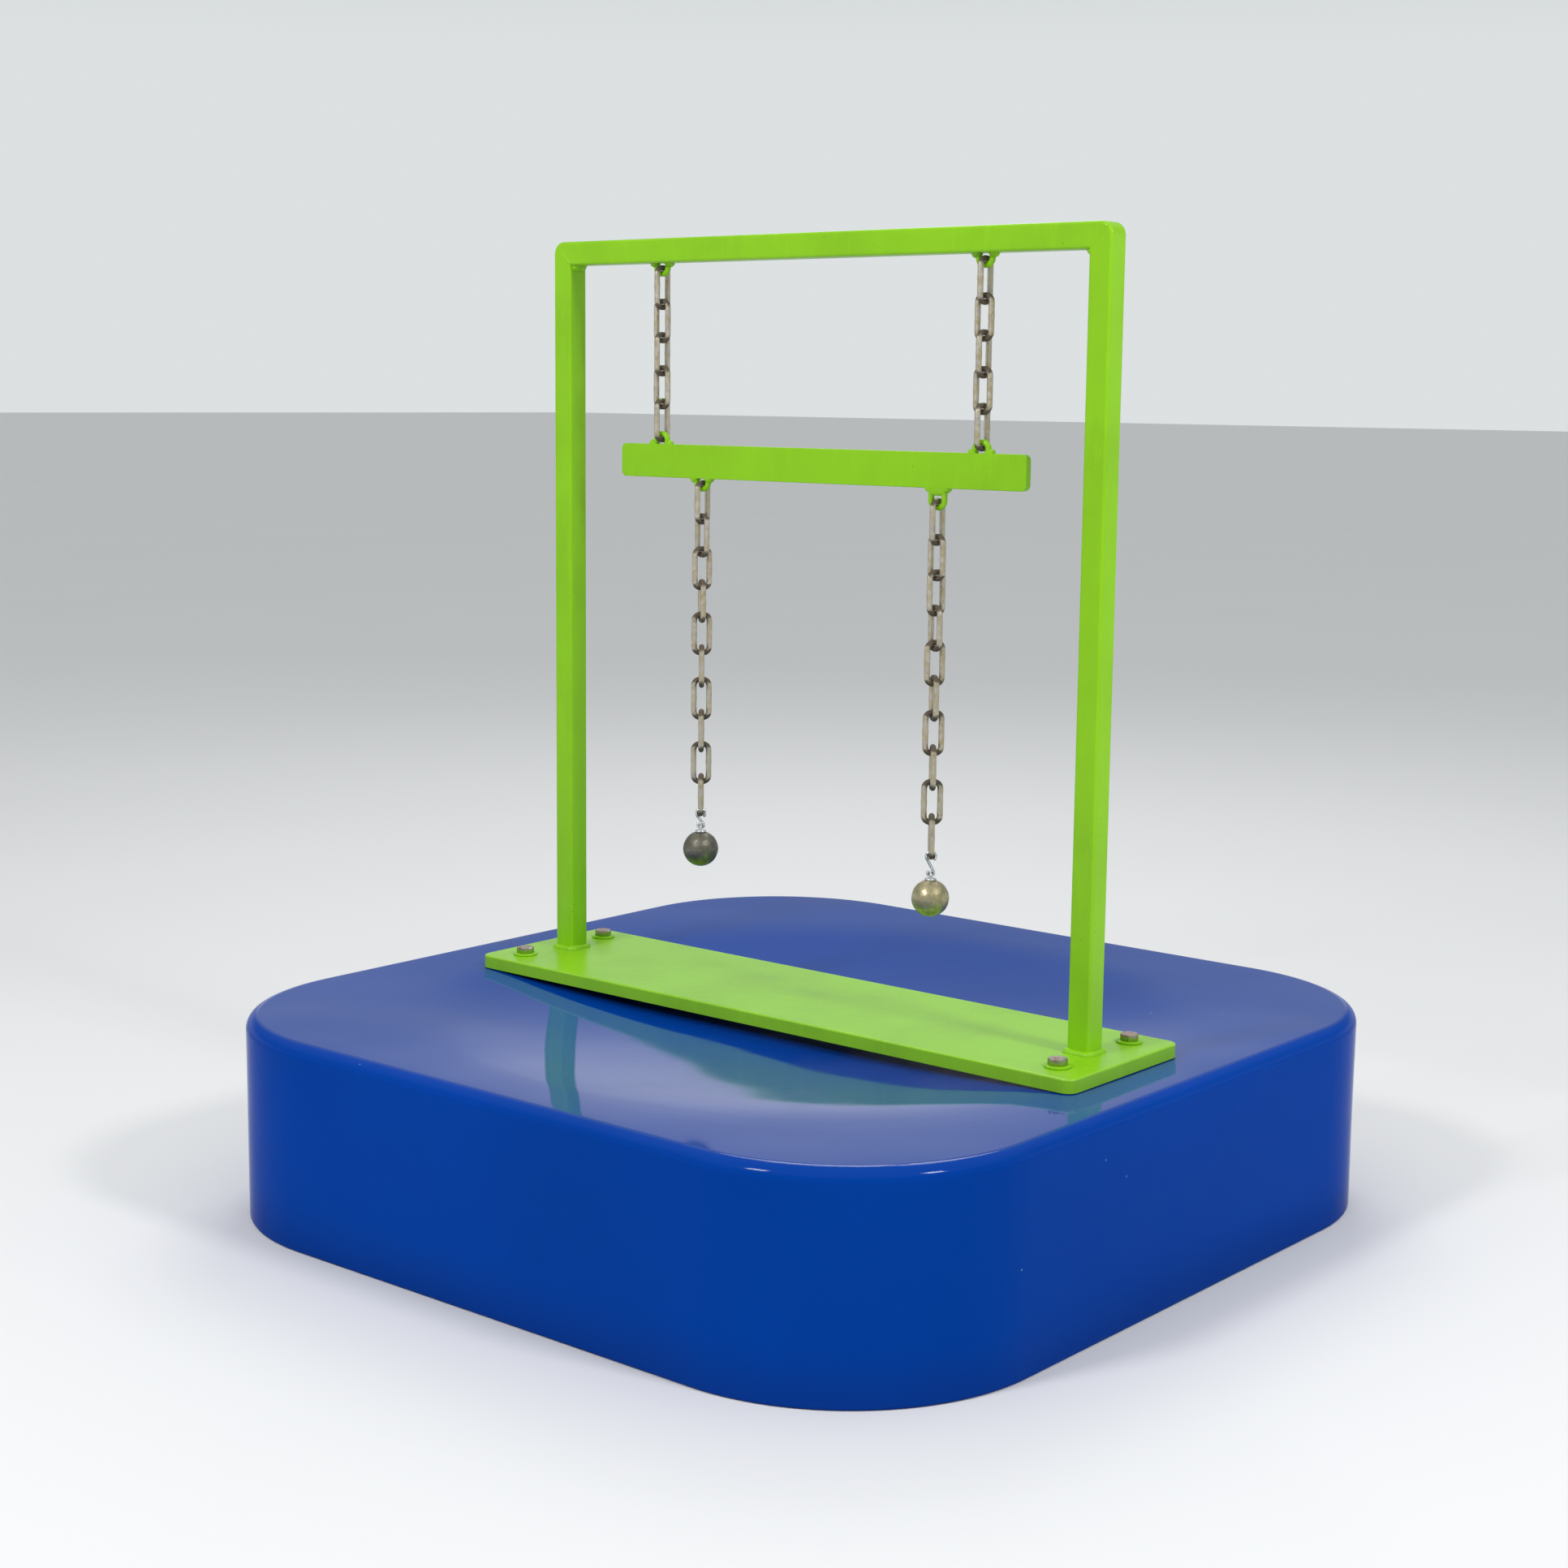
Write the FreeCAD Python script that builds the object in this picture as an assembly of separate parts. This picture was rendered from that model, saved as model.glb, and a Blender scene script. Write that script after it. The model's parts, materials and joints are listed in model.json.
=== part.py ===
import FreeCAD, Part
import math
import os

from FreeCAD import Vector

# Chain trapeze on a goal-post frame, bolted to a moulded block.  Millimetres, +Z up.  The origin is the
# middle of the block's footprint on the ground; X runs along the top bar, Y is front to back.

# ---- driving dimensions -------------------------------------------------------------------------

# moulded block
base_height = 211.0
base_margin_x = 77.5            # block beyond each end of the plate
base_margin_y = 381.0           # block beyond each side of the plate
base_corner_radius = 208.0      # plan corners
base_edge_radius = 14.0         # rounded rim of the top
shell_wall = 6.0
dish_depth = 11.0               # hollow in the middle of the top
dish_flat_radius = 130.0        # level middle of the dish
dish_skin = 7.0                 # moulding left below the dish
plate_bearing = 20.5            # length of each plate end that sits on the rim of the dish

# ground board that closes the block
board_thickness = 15.0
board_recess = 3.0              # board above the block's lower edge
board_clearance = 0.5
cleat_length = 60.0
cleat_height = 25.0
cleat_depth = 20.0
cleat_inset = 70.0              # cleat centre from the start of the corner
screw_radius = 2.5
screw_length = 32.0
screw_head_radius = 5.0
screw_head_height = 3.0
pilot_clearance = 0.05

# frame plate and its offset on the block
plate_offset_x = 15.0
plate_offset_y = -21.0
plate_width = 190.0
plate_thickness = 14.0
plate_overhang = 36.0           # plate beyond the outside of each leg
plate_corner_radius = 12.0
plate_edge_radius = 2.0

# plate bolts
bolt_end_distance = 37.5        # bolt from the end of the plate
bolt_side_distance = 33.0       # bolt from the side of the plate
bolt_radius = 5.0
bolt_hole_clearance = 0.5
bolt_head_across_flats = 17.0
bolt_head_height = 6.4
bolt_head_crown = 15.3          # radius of the head's domed top
bolt_tail = 4.0                 # thread below the nut
washer_radius = 13.0
washer_thickness = 2.5
nut_height = 8.0
nut_clearance = 0.05
backing_thickness = 5.0
backing_margin = 22.0           # backing plate around its bolts

# square tube frame
frame_width = 713.0             # outside of one leg to outside of the other
tube_size = 25.0
tube_wall = 2.0
tube_edge_radius = 3.0
frame_corner_radius = 13.0      # ground outer corner
foot_weld = 5.0
foot_weld_lip = 1.25            # bead's width at its top
corner_weld = 7.0

# chain
chain_wire = 6.0
link_inner_length = 34.6
link_inner_width = 10.0
link_bend_slack = 0.5           # a bend's inner radius over the wire's radius
link_clearance = 0.1            # between two wires that hang in each other
upper_link_count = 5
lower_link_count = 10

# eyes, each a bent wire welded on; the gap is between the bar and the link in the eye
top_eye_gap = 2.0
trapeze_eye_gap = 1.4
left_eye_gap = 1.4
right_eye_gap = 9.5

# trapeze bar
trapeze_height = 35.0           # flat bar, hung on edge
trapeze_thickness = 8.0
trapeze_corner_radius = 6.0
trapeze_edge_radius = 0.8
trapeze_end_gap = 68.5          # from the bar's end to the leg
upper_chain_inset = 55.0        # chain from the bar's end
left_chain_inset = 113.0
right_chain_inset = 106.0

# hooks and balls
hook_wire = 3.0
left_hook_span = 12.5           # middle of the upper loop to middle of the lower loop
right_hook_span = 16.5
hook_clearance = 0.1
ball_radius = 19.0
ball_clearance = 105.9          # lower ball above the plate
eye_bolt_wire = 3.0
eye_bolt_width = 8.0            # between the middles of its two legs
eye_bolt_bend = 3.0
eye_bolt_rise = 7.5             # middle of its bow above the ball
collar_radius = 6.0
collar_thickness = 2.0
shank_radius = 2.5
shank_length = 16.0
shank_clearance = 0.05

# plane of each lower link, in degrees from the XZ plane: the chains hang a little twisted
left_link_turns = [90, -12, 62, -38, 45, -48, 40, -50, 40, -50]
right_link_turns = [90, -6, 76, -22, 60, -38, 45, -48, 40, -50]

# ---- sizes that follow --------------------------------------------------------------------------

plate_length = frame_width + 2 * plate_overhang
base_length = plate_length + 2 * base_margin_x
base_depth = plate_width + 2 * base_margin_y
dish_radius = plate_length / 2 - plate_bearing

plate_bottom = base_height
plate_top = plate_bottom + plate_thickness
cavity_top = base_height - dish_depth - dish_skin
plate_middle = Vector(plate_offset_x, plate_offset_y, 0)

wire_radius = chain_wire / 2
wire_step = chain_wire + link_clearance
link_length = link_inner_length + chain_wire
link_width = link_inner_width + chain_wire
link_pitch = link_length - wire_step
link_bend_radius = chain_wire + link_bend_slack
eye_reach = wire_step + wire_radius

ball_flat_drop = ball_radius - math.sqrt(ball_radius ** 2 - collar_radius ** 2)
right_ball_top = plate_top + ball_clearance + 2 * ball_radius - ball_flat_drop
right_chain_end = right_ball_top + eye_bolt_rise + right_hook_span
right_eye_axis = right_chain_end + lower_link_count * link_pitch
trapeze_bottom = right_eye_axis + eye_reach + right_eye_gap
trapeze_axis = trapeze_bottom + trapeze_height / 2
left_eye_axis = trapeze_bottom - eye_reach - left_eye_gap
left_chain_end = left_eye_axis - lower_link_count * link_pitch
trapeze_eye_axis = trapeze_axis + trapeze_height / 2 + eye_reach + trapeze_eye_gap
top_eye_axis = trapeze_eye_axis + upper_link_count * link_pitch - wire_step
frame_inside_top = top_eye_axis + eye_reach + top_eye_gap
frame_top = frame_inside_top + tube_size

leg_x = frame_width / 2 - tube_size / 2
trapeze_length = frame_width - 2 * tube_size - 2 * trapeze_end_gap
upper_chain_x = trapeze_length / 2 - upper_chain_inset
left_chain_x = -(trapeze_length / 2 - left_chain_inset)
right_chain_x = trapeze_length / 2 - right_chain_inset

# ---- shape helpers ------------------------------------------------------------------------------


def rounded_corner(before, corner, after, radius):
    """The two ends and the middle of an arc that rounds a corner."""
    towards_before = (before - corner).normalize()
    towards_after = (after - corner).normalize()
    half_angle = towards_before.getAngle(towards_after) / 2
    reach = radius / math.tan(half_angle)
    bisector = (towards_before + towards_after).normalize()
    centre = corner + bisector * (radius / math.sin(half_angle))
    return corner + towards_before * reach, centre - bisector * radius, corner + towards_after * reach


def bent_wire(points, radius):
    """A path of straight runs through the points, its corners rounded."""
    edges = []
    run_start = points[0]
    for before, corner, after in zip(points, points[1:], points[2:]):
        arc_start, arc_middle, arc_end = rounded_corner(before, corner, after, radius)
        edges.append(Part.LineSegment(run_start, arc_start).toShape())
        edges.append(Part.Arc(arc_start, arc_middle, arc_end).toShape())
        run_start = arc_end
    edges.append(Part.LineSegment(run_start, points[-1]).toShape())
    return Part.Wire(edges)


def round_bar(path, start, direction, radius):
    """A round wire or bar along a path."""
    section = Part.Face(Part.Wire([Part.makeCircle(radius, start, direction)]))
    return path.makePipe(section)


def rounded_rectangle(size_x, size_y, radius, z):
    """A flat rectangle with rounded corners, centred on the Z axis."""
    half_x = size_x / 2
    half_y = size_y / 2
    corners = [Vector(-half_x, -half_y, z), Vector(half_x, -half_y, z),
               Vector(half_x, half_y, z), Vector(-half_x, half_y, z)]
    arcs = []
    for index, corner in enumerate(corners):
        arcs.append(rounded_corner(corners[index - 1], corner, corners[(index + 1) % 4], radius))
    edges = []
    for index, (arc_start, arc_middle, arc_end) in enumerate(arcs):
        edges.append(Part.Arc(arc_start, arc_middle, arc_end).toShape())
        edges.append(Part.LineSegment(arc_end, arcs[(index + 1) % 4][0]).toShape())
    return Part.Face(Part.Wire(edges))


def rounded_prism(size_x, size_y, radius, bottom, top):
    """An upright block with rounded corners."""
    return rounded_rectangle(size_x, size_y, radius, bottom).extrude(Vector(0, 0, top - bottom))


def edges_at_height(shape, height):
    """The edges that lie level at one height."""
    close = 1e-6
    return [edge for edge in shape.Edges
            if abs(edge.BoundBox.ZMin - height) < close and abs(edge.BoundBox.ZMax - height) < close]


def hexagon_prism(across_flats, bottom, top):
    """A hexagon bar end, such as a bolt head or nut."""
    corner_radius = across_flats / math.sqrt(3)
    points = []
    for corner in range(7):
        angle = math.radians(60 * corner)
        points.append(Vector(corner_radius * math.cos(angle), corner_radius * math.sin(angle), bottom))
    return Part.Face(Part.makePolygon(points)).extrude(Vector(0, 0, top - bottom))


def at(shape, x, y, z=0.0):
    """A copy of the shape, moved."""
    moved = shape.copy()
    moved.translate(Vector(x, y, z))
    return moved


def turned(shape, degrees):
    """A copy of the shape, turned about the Z axis."""
    copy = shape.copy()
    copy.rotate(Vector(0, 0, 0), Vector(0, 0, 1), degrees)
    return copy


def in_frame(shape):
    """Moves a shape from the frame's middle to its place on the block."""
    return at(shape, plate_offset_x, plate_offset_y)


def bolt_places():
    """The four bolt centres, from the middle of the plate."""
    x = plate_length / 2 - bolt_end_distance
    y = plate_width / 2 - bolt_side_distance
    return [(-x, -y), (-x, y), (x, -y), (x, y)]


def at_bolts(shape):
    """One copy of the shape at each bolt."""
    return Part.makeCompound([in_frame(at(shape, x, y)) for x, y in bolt_places()])


def bolt_holes(radius, bottom, top):
    """Drills for the plate bolts."""
    return at_bolts(Part.makeCylinder(radius, top - bottom, Vector(0, 0, bottom)))


# ---- moulded block ------------------------------------------------------------------------------


def dish_cutter():
    """What the dish takes out of the top: level in the middle, curving up to its rim."""
    curve_run = dish_radius - dish_flat_radius
    curve_radius = (curve_run ** 2 + dish_depth ** 2) / (2 * dish_depth)
    floor = base_height - dish_depth
    half_turn = math.asin(curve_run / curve_radius) / 2
    middle = Vector(dish_flat_radius + curve_radius * math.sin(half_turn), 0,
                    floor + curve_radius * (1 - math.cos(half_turn)))
    centre = Vector(0, 0, floor)
    flat_end = Vector(dish_flat_radius, 0, floor)
    rim = Vector(dish_radius, 0, base_height)
    rim_above = Vector(dish_radius, 0, base_height + dish_depth)
    centre_above = Vector(0, 0, base_height + dish_depth)
    outline = Part.Wire([
        Part.LineSegment(centre, flat_end).toShape(),
        Part.Arc(flat_end, middle, rim).toShape(),
        Part.LineSegment(rim, rim_above).toShape(),
        Part.LineSegment(rim_above, centre_above).toShape(),
        Part.LineSegment(centre_above, centre).toShape(),
    ])
    cutter = Part.Face(outline).revolve(Vector(0, 0, 0), Vector(0, 0, 1), 360)
    return in_frame(cutter)


def base_shell():
    """Hollow moulding, open below, with a dished top."""
    outside = rounded_prism(base_length, base_depth, base_corner_radius, 0, base_height)
    outside = outside.makeFillet(base_edge_radius, edges_at_height(outside, base_height))
    inner_length = base_length - 2 * shell_wall
    inner_depth = base_depth - 2 * shell_wall
    inner_radius = base_corner_radius - shell_wall
    hollow = rounded_prism(inner_length, inner_depth, inner_radius, 0, cavity_top)
    hollow = hollow.makeFillet(base_edge_radius - shell_wall, edges_at_height(hollow, cavity_top))
    holes = bolt_holes(bolt_radius + bolt_hole_clearance, cavity_top - 1, base_height + 1)
    return outside.cut(hollow).cut(dish_cutter()).cut(holes)


def cleat_places():
    """Centre of each cleat on the block's inner wall, and its turn about Z."""
    wall_x = base_length / 2 - shell_wall - cleat_depth / 2
    wall_y = base_depth / 2 - shell_wall - cleat_depth / 2
    along_x = base_length / 2 - base_corner_radius - cleat_inset
    along_y = base_depth / 2 - base_corner_radius - cleat_inset
    places = []
    for side in (-1, 1):
        for end in (-1, 1):
            places.append((end * along_x, side * wall_y, 0))
            places.append((side * wall_x, end * along_y, 90))
    return places


def at_cleats(shape):
    """One copy of the shape at each cleat."""
    return Part.makeCompound([at(turned(shape, turn), x, y) for x, y, turn in cleat_places()])


def screw(extra=0.0):
    """A countersunk screw pointing up from the underside of the board; extra widens it into its hole."""
    head = Part.makeCone(screw_head_radius + extra, screw_radius + extra, screw_head_height,
                         Vector(0, 0, board_recess))
    shank = Part.makeCylinder(screw_radius + extra, screw_length + extra, Vector(0, 0, board_recess))
    return head.fuse(shank)


def base_board():
    """Board that closes the block from below."""
    gap = 2 * (shell_wall + board_clearance)
    board = rounded_prism(base_length - gap, base_depth - gap, base_corner_radius - gap / 2,
                          board_recess, board_recess + board_thickness)
    return board.cut(at_cleats(screw(pilot_clearance)))


def board_cleats():
    """Blocks on the inner wall that take the board's screws."""
    bottom = board_recess + board_thickness
    cleat = Part.makeBox(cleat_length, cleat_depth, cleat_height,
                         Vector(-cleat_length / 2, -cleat_depth / 2, bottom))
    return at_cleats(cleat.cut(screw(pilot_clearance)))


def board_screws():
    """One screw up into each cleat."""
    return at_cleats(screw())


def backing_plate(side):
    """Steel strip under the moulding that spreads the load of two bolts."""
    width = 2 * backing_margin
    length = plate_width - 2 * bolt_side_distance + width
    strip = Part.makeBox(width, length, backing_thickness,
                         Vector(-width / 2, -length / 2, cavity_top - backing_thickness))
    strip = in_frame(at(strip, side * (plate_length / 2 - bolt_end_distance), 0))
    return strip.cut(bolt_holes(bolt_radius + bolt_hole_clearance, cavity_top - backing_thickness - 1,
                                cavity_top + 1))


# ---- plate and its bolts ------------------------------------------------------------------------


def base_plate():
    """Flat bar that carries both legs."""
    plate = rounded_prism(plate_length, plate_width, plate_corner_radius, plate_bottom, plate_top)
    plate = plate.makeFillet(plate_edge_radius, edges_at_height(plate, plate_top))
    return in_frame(plate).cut(bolt_holes(bolt_radius + bolt_hole_clearance, plate_bottom - 1,
                                          plate_top + 1))


def washer(bottom, thickness):
    """Flat ring around a bolt."""
    disc = Part.makeCylinder(washer_radius, thickness, Vector(0, 0, bottom))
    hole = Part.makeCylinder(bolt_radius + bolt_hole_clearance, thickness, Vector(0, 0, bottom))
    return disc.cut(hole)


head_bottom = plate_top + washer_thickness
backing_bottom = cavity_top - backing_thickness
nut_top = backing_bottom - washer_thickness
nut_bottom = nut_top - nut_height


def base_bolts():
    """Hexagon bolts through the plate, the moulding and the backing plates."""
    head = hexagon_prism(bolt_head_across_flats, head_bottom, head_bottom + bolt_head_height)
    dome = Part.makeSphere(bolt_head_crown, Vector(0, 0, head_bottom + bolt_head_height - bolt_head_crown))
    shank_bottom = nut_bottom - bolt_tail
    shank = Part.makeCylinder(bolt_radius, head_bottom - shank_bottom, Vector(0, 0, shank_bottom))
    return at_bolts(head.common(dome).fuse(shank))


def base_nuts():
    """Nuts inside the block."""
    nut = hexagon_prism(bolt_head_across_flats, nut_bottom, nut_top)
    hole = Part.makeCylinder(bolt_radius + nut_clearance, nut_height, Vector(0, 0, nut_bottom))
    return at_bolts(nut.cut(hole))


# ---- frame --------------------------------------------------------------------------------------


def corner_rounder(side, radius, inset):
    """What grinding takes off an outer frame corner; inset moves it inwards for the tube's bore."""
    outer_x = frame_width / 2 - inset
    outer_z = frame_top - inset
    arc_centre = Vector(outer_x - radius, -tube_size / 2, outer_z - radius)
    block = Part.makeBox(radius, tube_size, radius, arc_centre)
    rounder = block.cut(Part.makeCylinder(radius, tube_size, arc_centre, Vector(0, 1, 0)))
    return rounder if side > 0 else turned(rounder, 180)


def mitre_wedge(side):
    """Everything on the leg's side of the mitre, for the corner at that side."""
    inner = Vector(side * (frame_width / 2 - tube_size), -tube_size, frame_inside_top)
    outer = Vector(side * frame_width / 2, -tube_size, frame_top)
    foot_outer = Vector(side * frame_width / 2, -tube_size, plate_top)
    foot_inner = Vector(side * (frame_width / 2 - tube_size), -tube_size, plate_top)
    outline = Part.makePolygon([inner, outer, foot_outer, foot_inner, inner])
    return Part.Face(outline).extrude(Vector(0, 2 * tube_size, 0))


def leg_bar(side, size, radius, inset):
    """One leg as a full bar, mitred, with its outer corner rounded."""
    bar = at(rounded_prism(size, size, radius, plate_top, frame_top), side * leg_x, 0)
    rounder = corner_rounder(side, frame_corner_radius - inset, inset)
    return bar.common(mitre_wedge(side)).cut(rounder)


def top_bar_bar(size, radius, inset):
    """The top bar as a full bar, mitred at both ends, with its outer corners rounded."""
    upright = rounded_prism(size, size, radius, -frame_width / 2, frame_width / 2)
    upright.rotate(Vector(0, 0, 0), Vector(0, 1, 0), 90)
    bar = at(upright, 0, 0, frame_top - tube_size / 2)
    for side in (-1, 1):
        bar = bar.cut(mitre_wedge(side)).cut(corner_rounder(side, frame_corner_radius - inset, inset))
    return bar


def leg(side):
    """Square tube leg, welded to the plate."""
    outside = leg_bar(side, tube_size, tube_edge_radius, 0)
    bore = leg_bar(side, tube_size - 2 * tube_wall, tube_edge_radius - tube_wall, tube_wall)
    return in_frame(outside.cut(bore))


def top_bar():
    """Square tube across the legs."""
    outside = top_bar_bar(tube_size, tube_edge_radius, 0)
    bore = top_bar_bar(tube_size - 2 * tube_wall, tube_edge_radius - tube_wall, tube_wall)
    return in_frame(outside.cut(bore))


def foot_weld_bead():
    """Fillet weld around the foot of a leg."""
    wide = tube_size + 2 * foot_weld
    bottom = rounded_rectangle(wide, wide, tube_edge_radius + foot_weld, plate_top).OuterWire
    narrow = tube_size + 2 * foot_weld_lip
    top = rounded_rectangle(narrow, narrow, tube_edge_radius + foot_weld_lip,
                            plate_top + foot_weld).OuterWire
    bead = Part.makeLoft([bottom, top], True)
    leg_section = rounded_prism(tube_size, tube_size, tube_edge_radius, plate_top - 1,
                                plate_top + foot_weld + 1)
    return bead.cut(leg_section)


def corner_weld_bead(side):
    """Weld in the inner corner of the frame, hollow-faced."""
    corner = Vector(side * (frame_width / 2 - tube_size), 0, frame_inside_top)
    depth = tube_size - 2 * tube_edge_radius
    start = Vector(corner.x, -depth / 2, corner.z)
    along_bar = start - Vector(side * corner_weld, 0, 0)
    along_leg = start - Vector(0, 0, corner_weld)
    centre = start - Vector(side * corner_weld, 0, corner_weld)
    middle = centre + Vector(side, 0, 1).normalize() * corner_weld
    outline = Part.Wire([
        Part.LineSegment(start, along_bar).toShape(),
        Part.Arc(along_bar, middle, along_leg).toShape(),
        Part.LineSegment(along_leg, start).toShape(),
    ])
    return Part.Face(outline).extrude(Vector(0, depth, 0))


def frame_welds():
    """Weld beads at both feet and both inner corners."""
    beads = []
    for side in (-1, 1):
        beads.append(in_frame(at(foot_weld_bead(), side * leg_x, 0)))
        beads.append(in_frame(corner_weld_bead(side)))
    return Part.makeCompound(beads)


# ---- eyes, links, hooks and balls ---------------------------------------------------------------


def staple(reach, width, bend_radius, radius):
    """A bent wire in the XZ plane: its bow is centred on the origin and its legs rise by reach."""
    half = width / 2
    points = [Vector(-half, 0, reach), Vector(-half, 0, 0), Vector(half, 0, 0), Vector(half, 0, reach)]
    return round_bar(bent_wire(points, bend_radius), points[0], Vector(0, 0, 1), radius)


def chain_eye(reach):
    """Eye of chain wire, as wide as a link."""
    return staple(reach, link_width, link_bend_radius, wire_radius)


def top_eye(side):
    """Eye under the top bar."""
    eye = chain_eye(frame_inside_top - top_eye_axis)
    return in_frame(at(eye, side * upper_chain_x, 0, top_eye_axis))


def trapeze_solid():
    """Flat bar on edge, with rounded corners, about its own middle line."""
    half = trapeze_thickness / 2
    bar = rounded_prism(trapeze_length, trapeze_height, trapeze_corner_radius, -half, half)
    rims = edges_at_height(bar, -half) + edges_at_height(bar, half)
    bar = bar.makeFillet(trapeze_edge_radius, rims)
    bar.rotate(Vector(0, 0, 0), Vector(1, 0, 0), 90)
    return at(bar, 0, 0, trapeze_axis)


def trapeze_top_eye(side):
    """Eye on top of the trapeze bar."""
    eye = chain_eye(trapeze_eye_axis - trapeze_axis)
    eye.rotate(Vector(0, 0, 0), Vector(1, 0, 0), 180)
    return in_frame(at(eye, side * upper_chain_x, 0, trapeze_eye_axis).cut(trapeze_solid()))


def trapeze_bottom_eye(x, eye_axis):
    """Eye under the trapeze bar."""
    eye = at(chain_eye(trapeze_axis - eye_axis), x, 0, eye_axis)
    return in_frame(eye.cut(trapeze_solid()))


def trapeze_bar():
    """Flat bar that hangs from the upper chains."""
    return in_frame(trapeze_solid())


def link():
    """One chain link in the XZ plane, its upper bow centred on the origin."""
    half = staple(link_length / 2, link_width, link_bend_radius, wire_radius)
    lower_half = at(half, 0, 0, -link_length)
    upper_half = half.copy()
    upper_half.rotate(Vector(0, 0, 0), Vector(0, 1, 0), 180)
    return lower_half.fuse(upper_half).removeSplitter()


def chain(name, x, eye_axis, turns):
    """A chain that hangs from an eye: node name to link."""
    links = {}
    for number, turn in enumerate(turns):
        bow = eye_axis + wire_step - number * link_pitch
        links[f"{name}_link_{number + 1}"] = in_frame(at(turned(link(), turn), x, 0, bow))
    return links


def hook(span):
    """S-shaped hook in the XZ plane: its upper loop is centred on the origin."""
    radius = hook_wire / 2
    upper = wire_radius + hook_clearance + radius
    lower = eye_bolt_wire / 2 + hook_clearance + radius
    lean = math.asin((upper + lower) / span)
    lower_centre = Vector(0, 0, -span)

    def on_loop(centre, loop_radius, degrees):
        angle = math.radians(degrees)
        return centre + Vector(loop_radius * math.cos(angle), 0, loop_radius * math.sin(angle))

    origin = Vector(0, 0, 0)
    shank_angle = -math.degrees(lean)
    free_end = on_loop(origin, upper, 215)
    shank_top = on_loop(origin, upper, shank_angle)
    shank_bottom = on_loop(lower_centre, lower, 180 + shank_angle)
    lower_end = on_loop(lower_centre, lower, 385)
    path = Part.Wire([
        Part.Arc(free_end, on_loop(origin, upper, 90), shank_top).toShape(),
        Part.LineSegment(shank_top, shank_bottom).toShape(),
        Part.Arc(shank_bottom, on_loop(lower_centre, lower, 270), lower_end).toShape(),
    ])
    start_direction = Vector(math.sin(math.radians(215)), 0, -math.cos(math.radians(215)))
    return round_bar(path, free_end, start_direction, radius)


def eye_bolt():
    """Small eye bolt for a ball: its bow is centred on the origin, its shank points down."""
    collar_top = -(eye_bolt_rise - collar_thickness)
    eye = staple(-collar_top, eye_bolt_width, eye_bolt_bend, eye_bolt_wire / 2)
    eye.rotate(Vector(0, 0, 0), Vector(1, 0, 0), 180)
    collar = Part.makeCylinder(collar_radius, collar_thickness, Vector(0, 0, -eye_bolt_rise))
    shank = Part.makeCylinder(shank_radius, shank_length, Vector(0, 0, -eye_bolt_rise - shank_length))
    return eye.fuse(collar).fuse(shank)


def ball():
    """Ball with a flat and a bore for its eye bolt; the flat is at the origin."""
    body = Part.makeSphere(ball_radius, Vector(0, 0, ball_flat_drop - ball_radius))
    above = Part.makeCylinder(collar_radius + 1, ball_flat_drop + 1, Vector(0, 0, 0))
    bore = Part.makeCylinder(shank_radius + shank_clearance, shank_length + 1,
                             Vector(0, 0, -shank_length - 1))
    return body.cut(above).cut(bore)


# ---- all nodes ----------------------------------------------------------------------------------


def hanging_end(x, chain_end, span, last_turn):
    """Hook, eye bolt and ball below one chain, in line with its last link."""
    eye_axis = chain_end - span
    top = eye_axis - eye_bolt_rise
    return (in_frame(at(turned(hook(span), last_turn + 90), x, 0, chain_end)),
            in_frame(at(turned(eye_bolt(), last_turn), x, 0, eye_axis)),
            in_frame(at(ball(), x, 0, top)))


nodes = {
    "base_shell": base_shell(),
    "base_board": base_board(),
    "board_cleats": board_cleats(),
    "board_screws": board_screws(),
    "backing_plate_left": backing_plate(-1),
    "backing_plate_right": backing_plate(1),
    "base_plate": base_plate(),
    "base_bolts": base_bolts(),
    "base_bolt_washers": at_bolts(washer(plate_top, washer_thickness)),
    "base_nut_washers": at_bolts(washer(nut_top, washer_thickness)),
    "base_nuts": base_nuts(),
    "left_leg": leg(-1),
    "right_leg": leg(1),
    "top_bar": top_bar(),
    "frame_welds": frame_welds(),
    "top_left_eye": top_eye(-1),
    "top_right_eye": top_eye(1),
    "trapeze_bar": trapeze_bar(),
    "trapeze_top_left_eye": trapeze_top_eye(-1),
    "trapeze_top_right_eye": trapeze_top_eye(1),
    "trapeze_bottom_left_eye": trapeze_bottom_eye(left_chain_x, left_eye_axis),
    "trapeze_bottom_right_eye": trapeze_bottom_eye(right_chain_x, right_eye_axis),
}

upper_link_turns = [90 if number % 2 == 0 else 0 for number in range(upper_link_count)]
nodes.update(chain("upper_left", -upper_chain_x, top_eye_axis, upper_link_turns))
nodes.update(chain("upper_right", upper_chain_x, top_eye_axis, upper_link_turns))
nodes.update(chain("lower_left", left_chain_x, left_eye_axis, left_link_turns))
nodes.update(chain("lower_right", right_chain_x, right_eye_axis, right_link_turns))

nodes["left_hook"], nodes["left_ball_eye"], nodes["left_ball"] = hanging_end(
    left_chain_x, left_chain_end, left_hook_span, left_link_turns[-1])
nodes["right_hook"], nodes["right_ball_eye"], nodes["right_ball"] = hanging_end(
    right_chain_x, right_chain_end, right_hook_span, right_link_turns[-1])

os.makedirs("parts", exist_ok=True)
for node, shape in nodes.items():
    shape.exportStep(os.path.join("parts", node + ".step"))
    print(node, len(shape.Solids), shape.isValid(), round(shape.Volume / 1000, 2), "cm3")
print(len(nodes), "nodes, frame top", round(frame_top, 2), "trapeze axis", round(trapeze_axis, 2))
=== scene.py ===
"""Chain trapeze on a moulded block: the finished surfaces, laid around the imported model."""
import json
import math
import random

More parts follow.
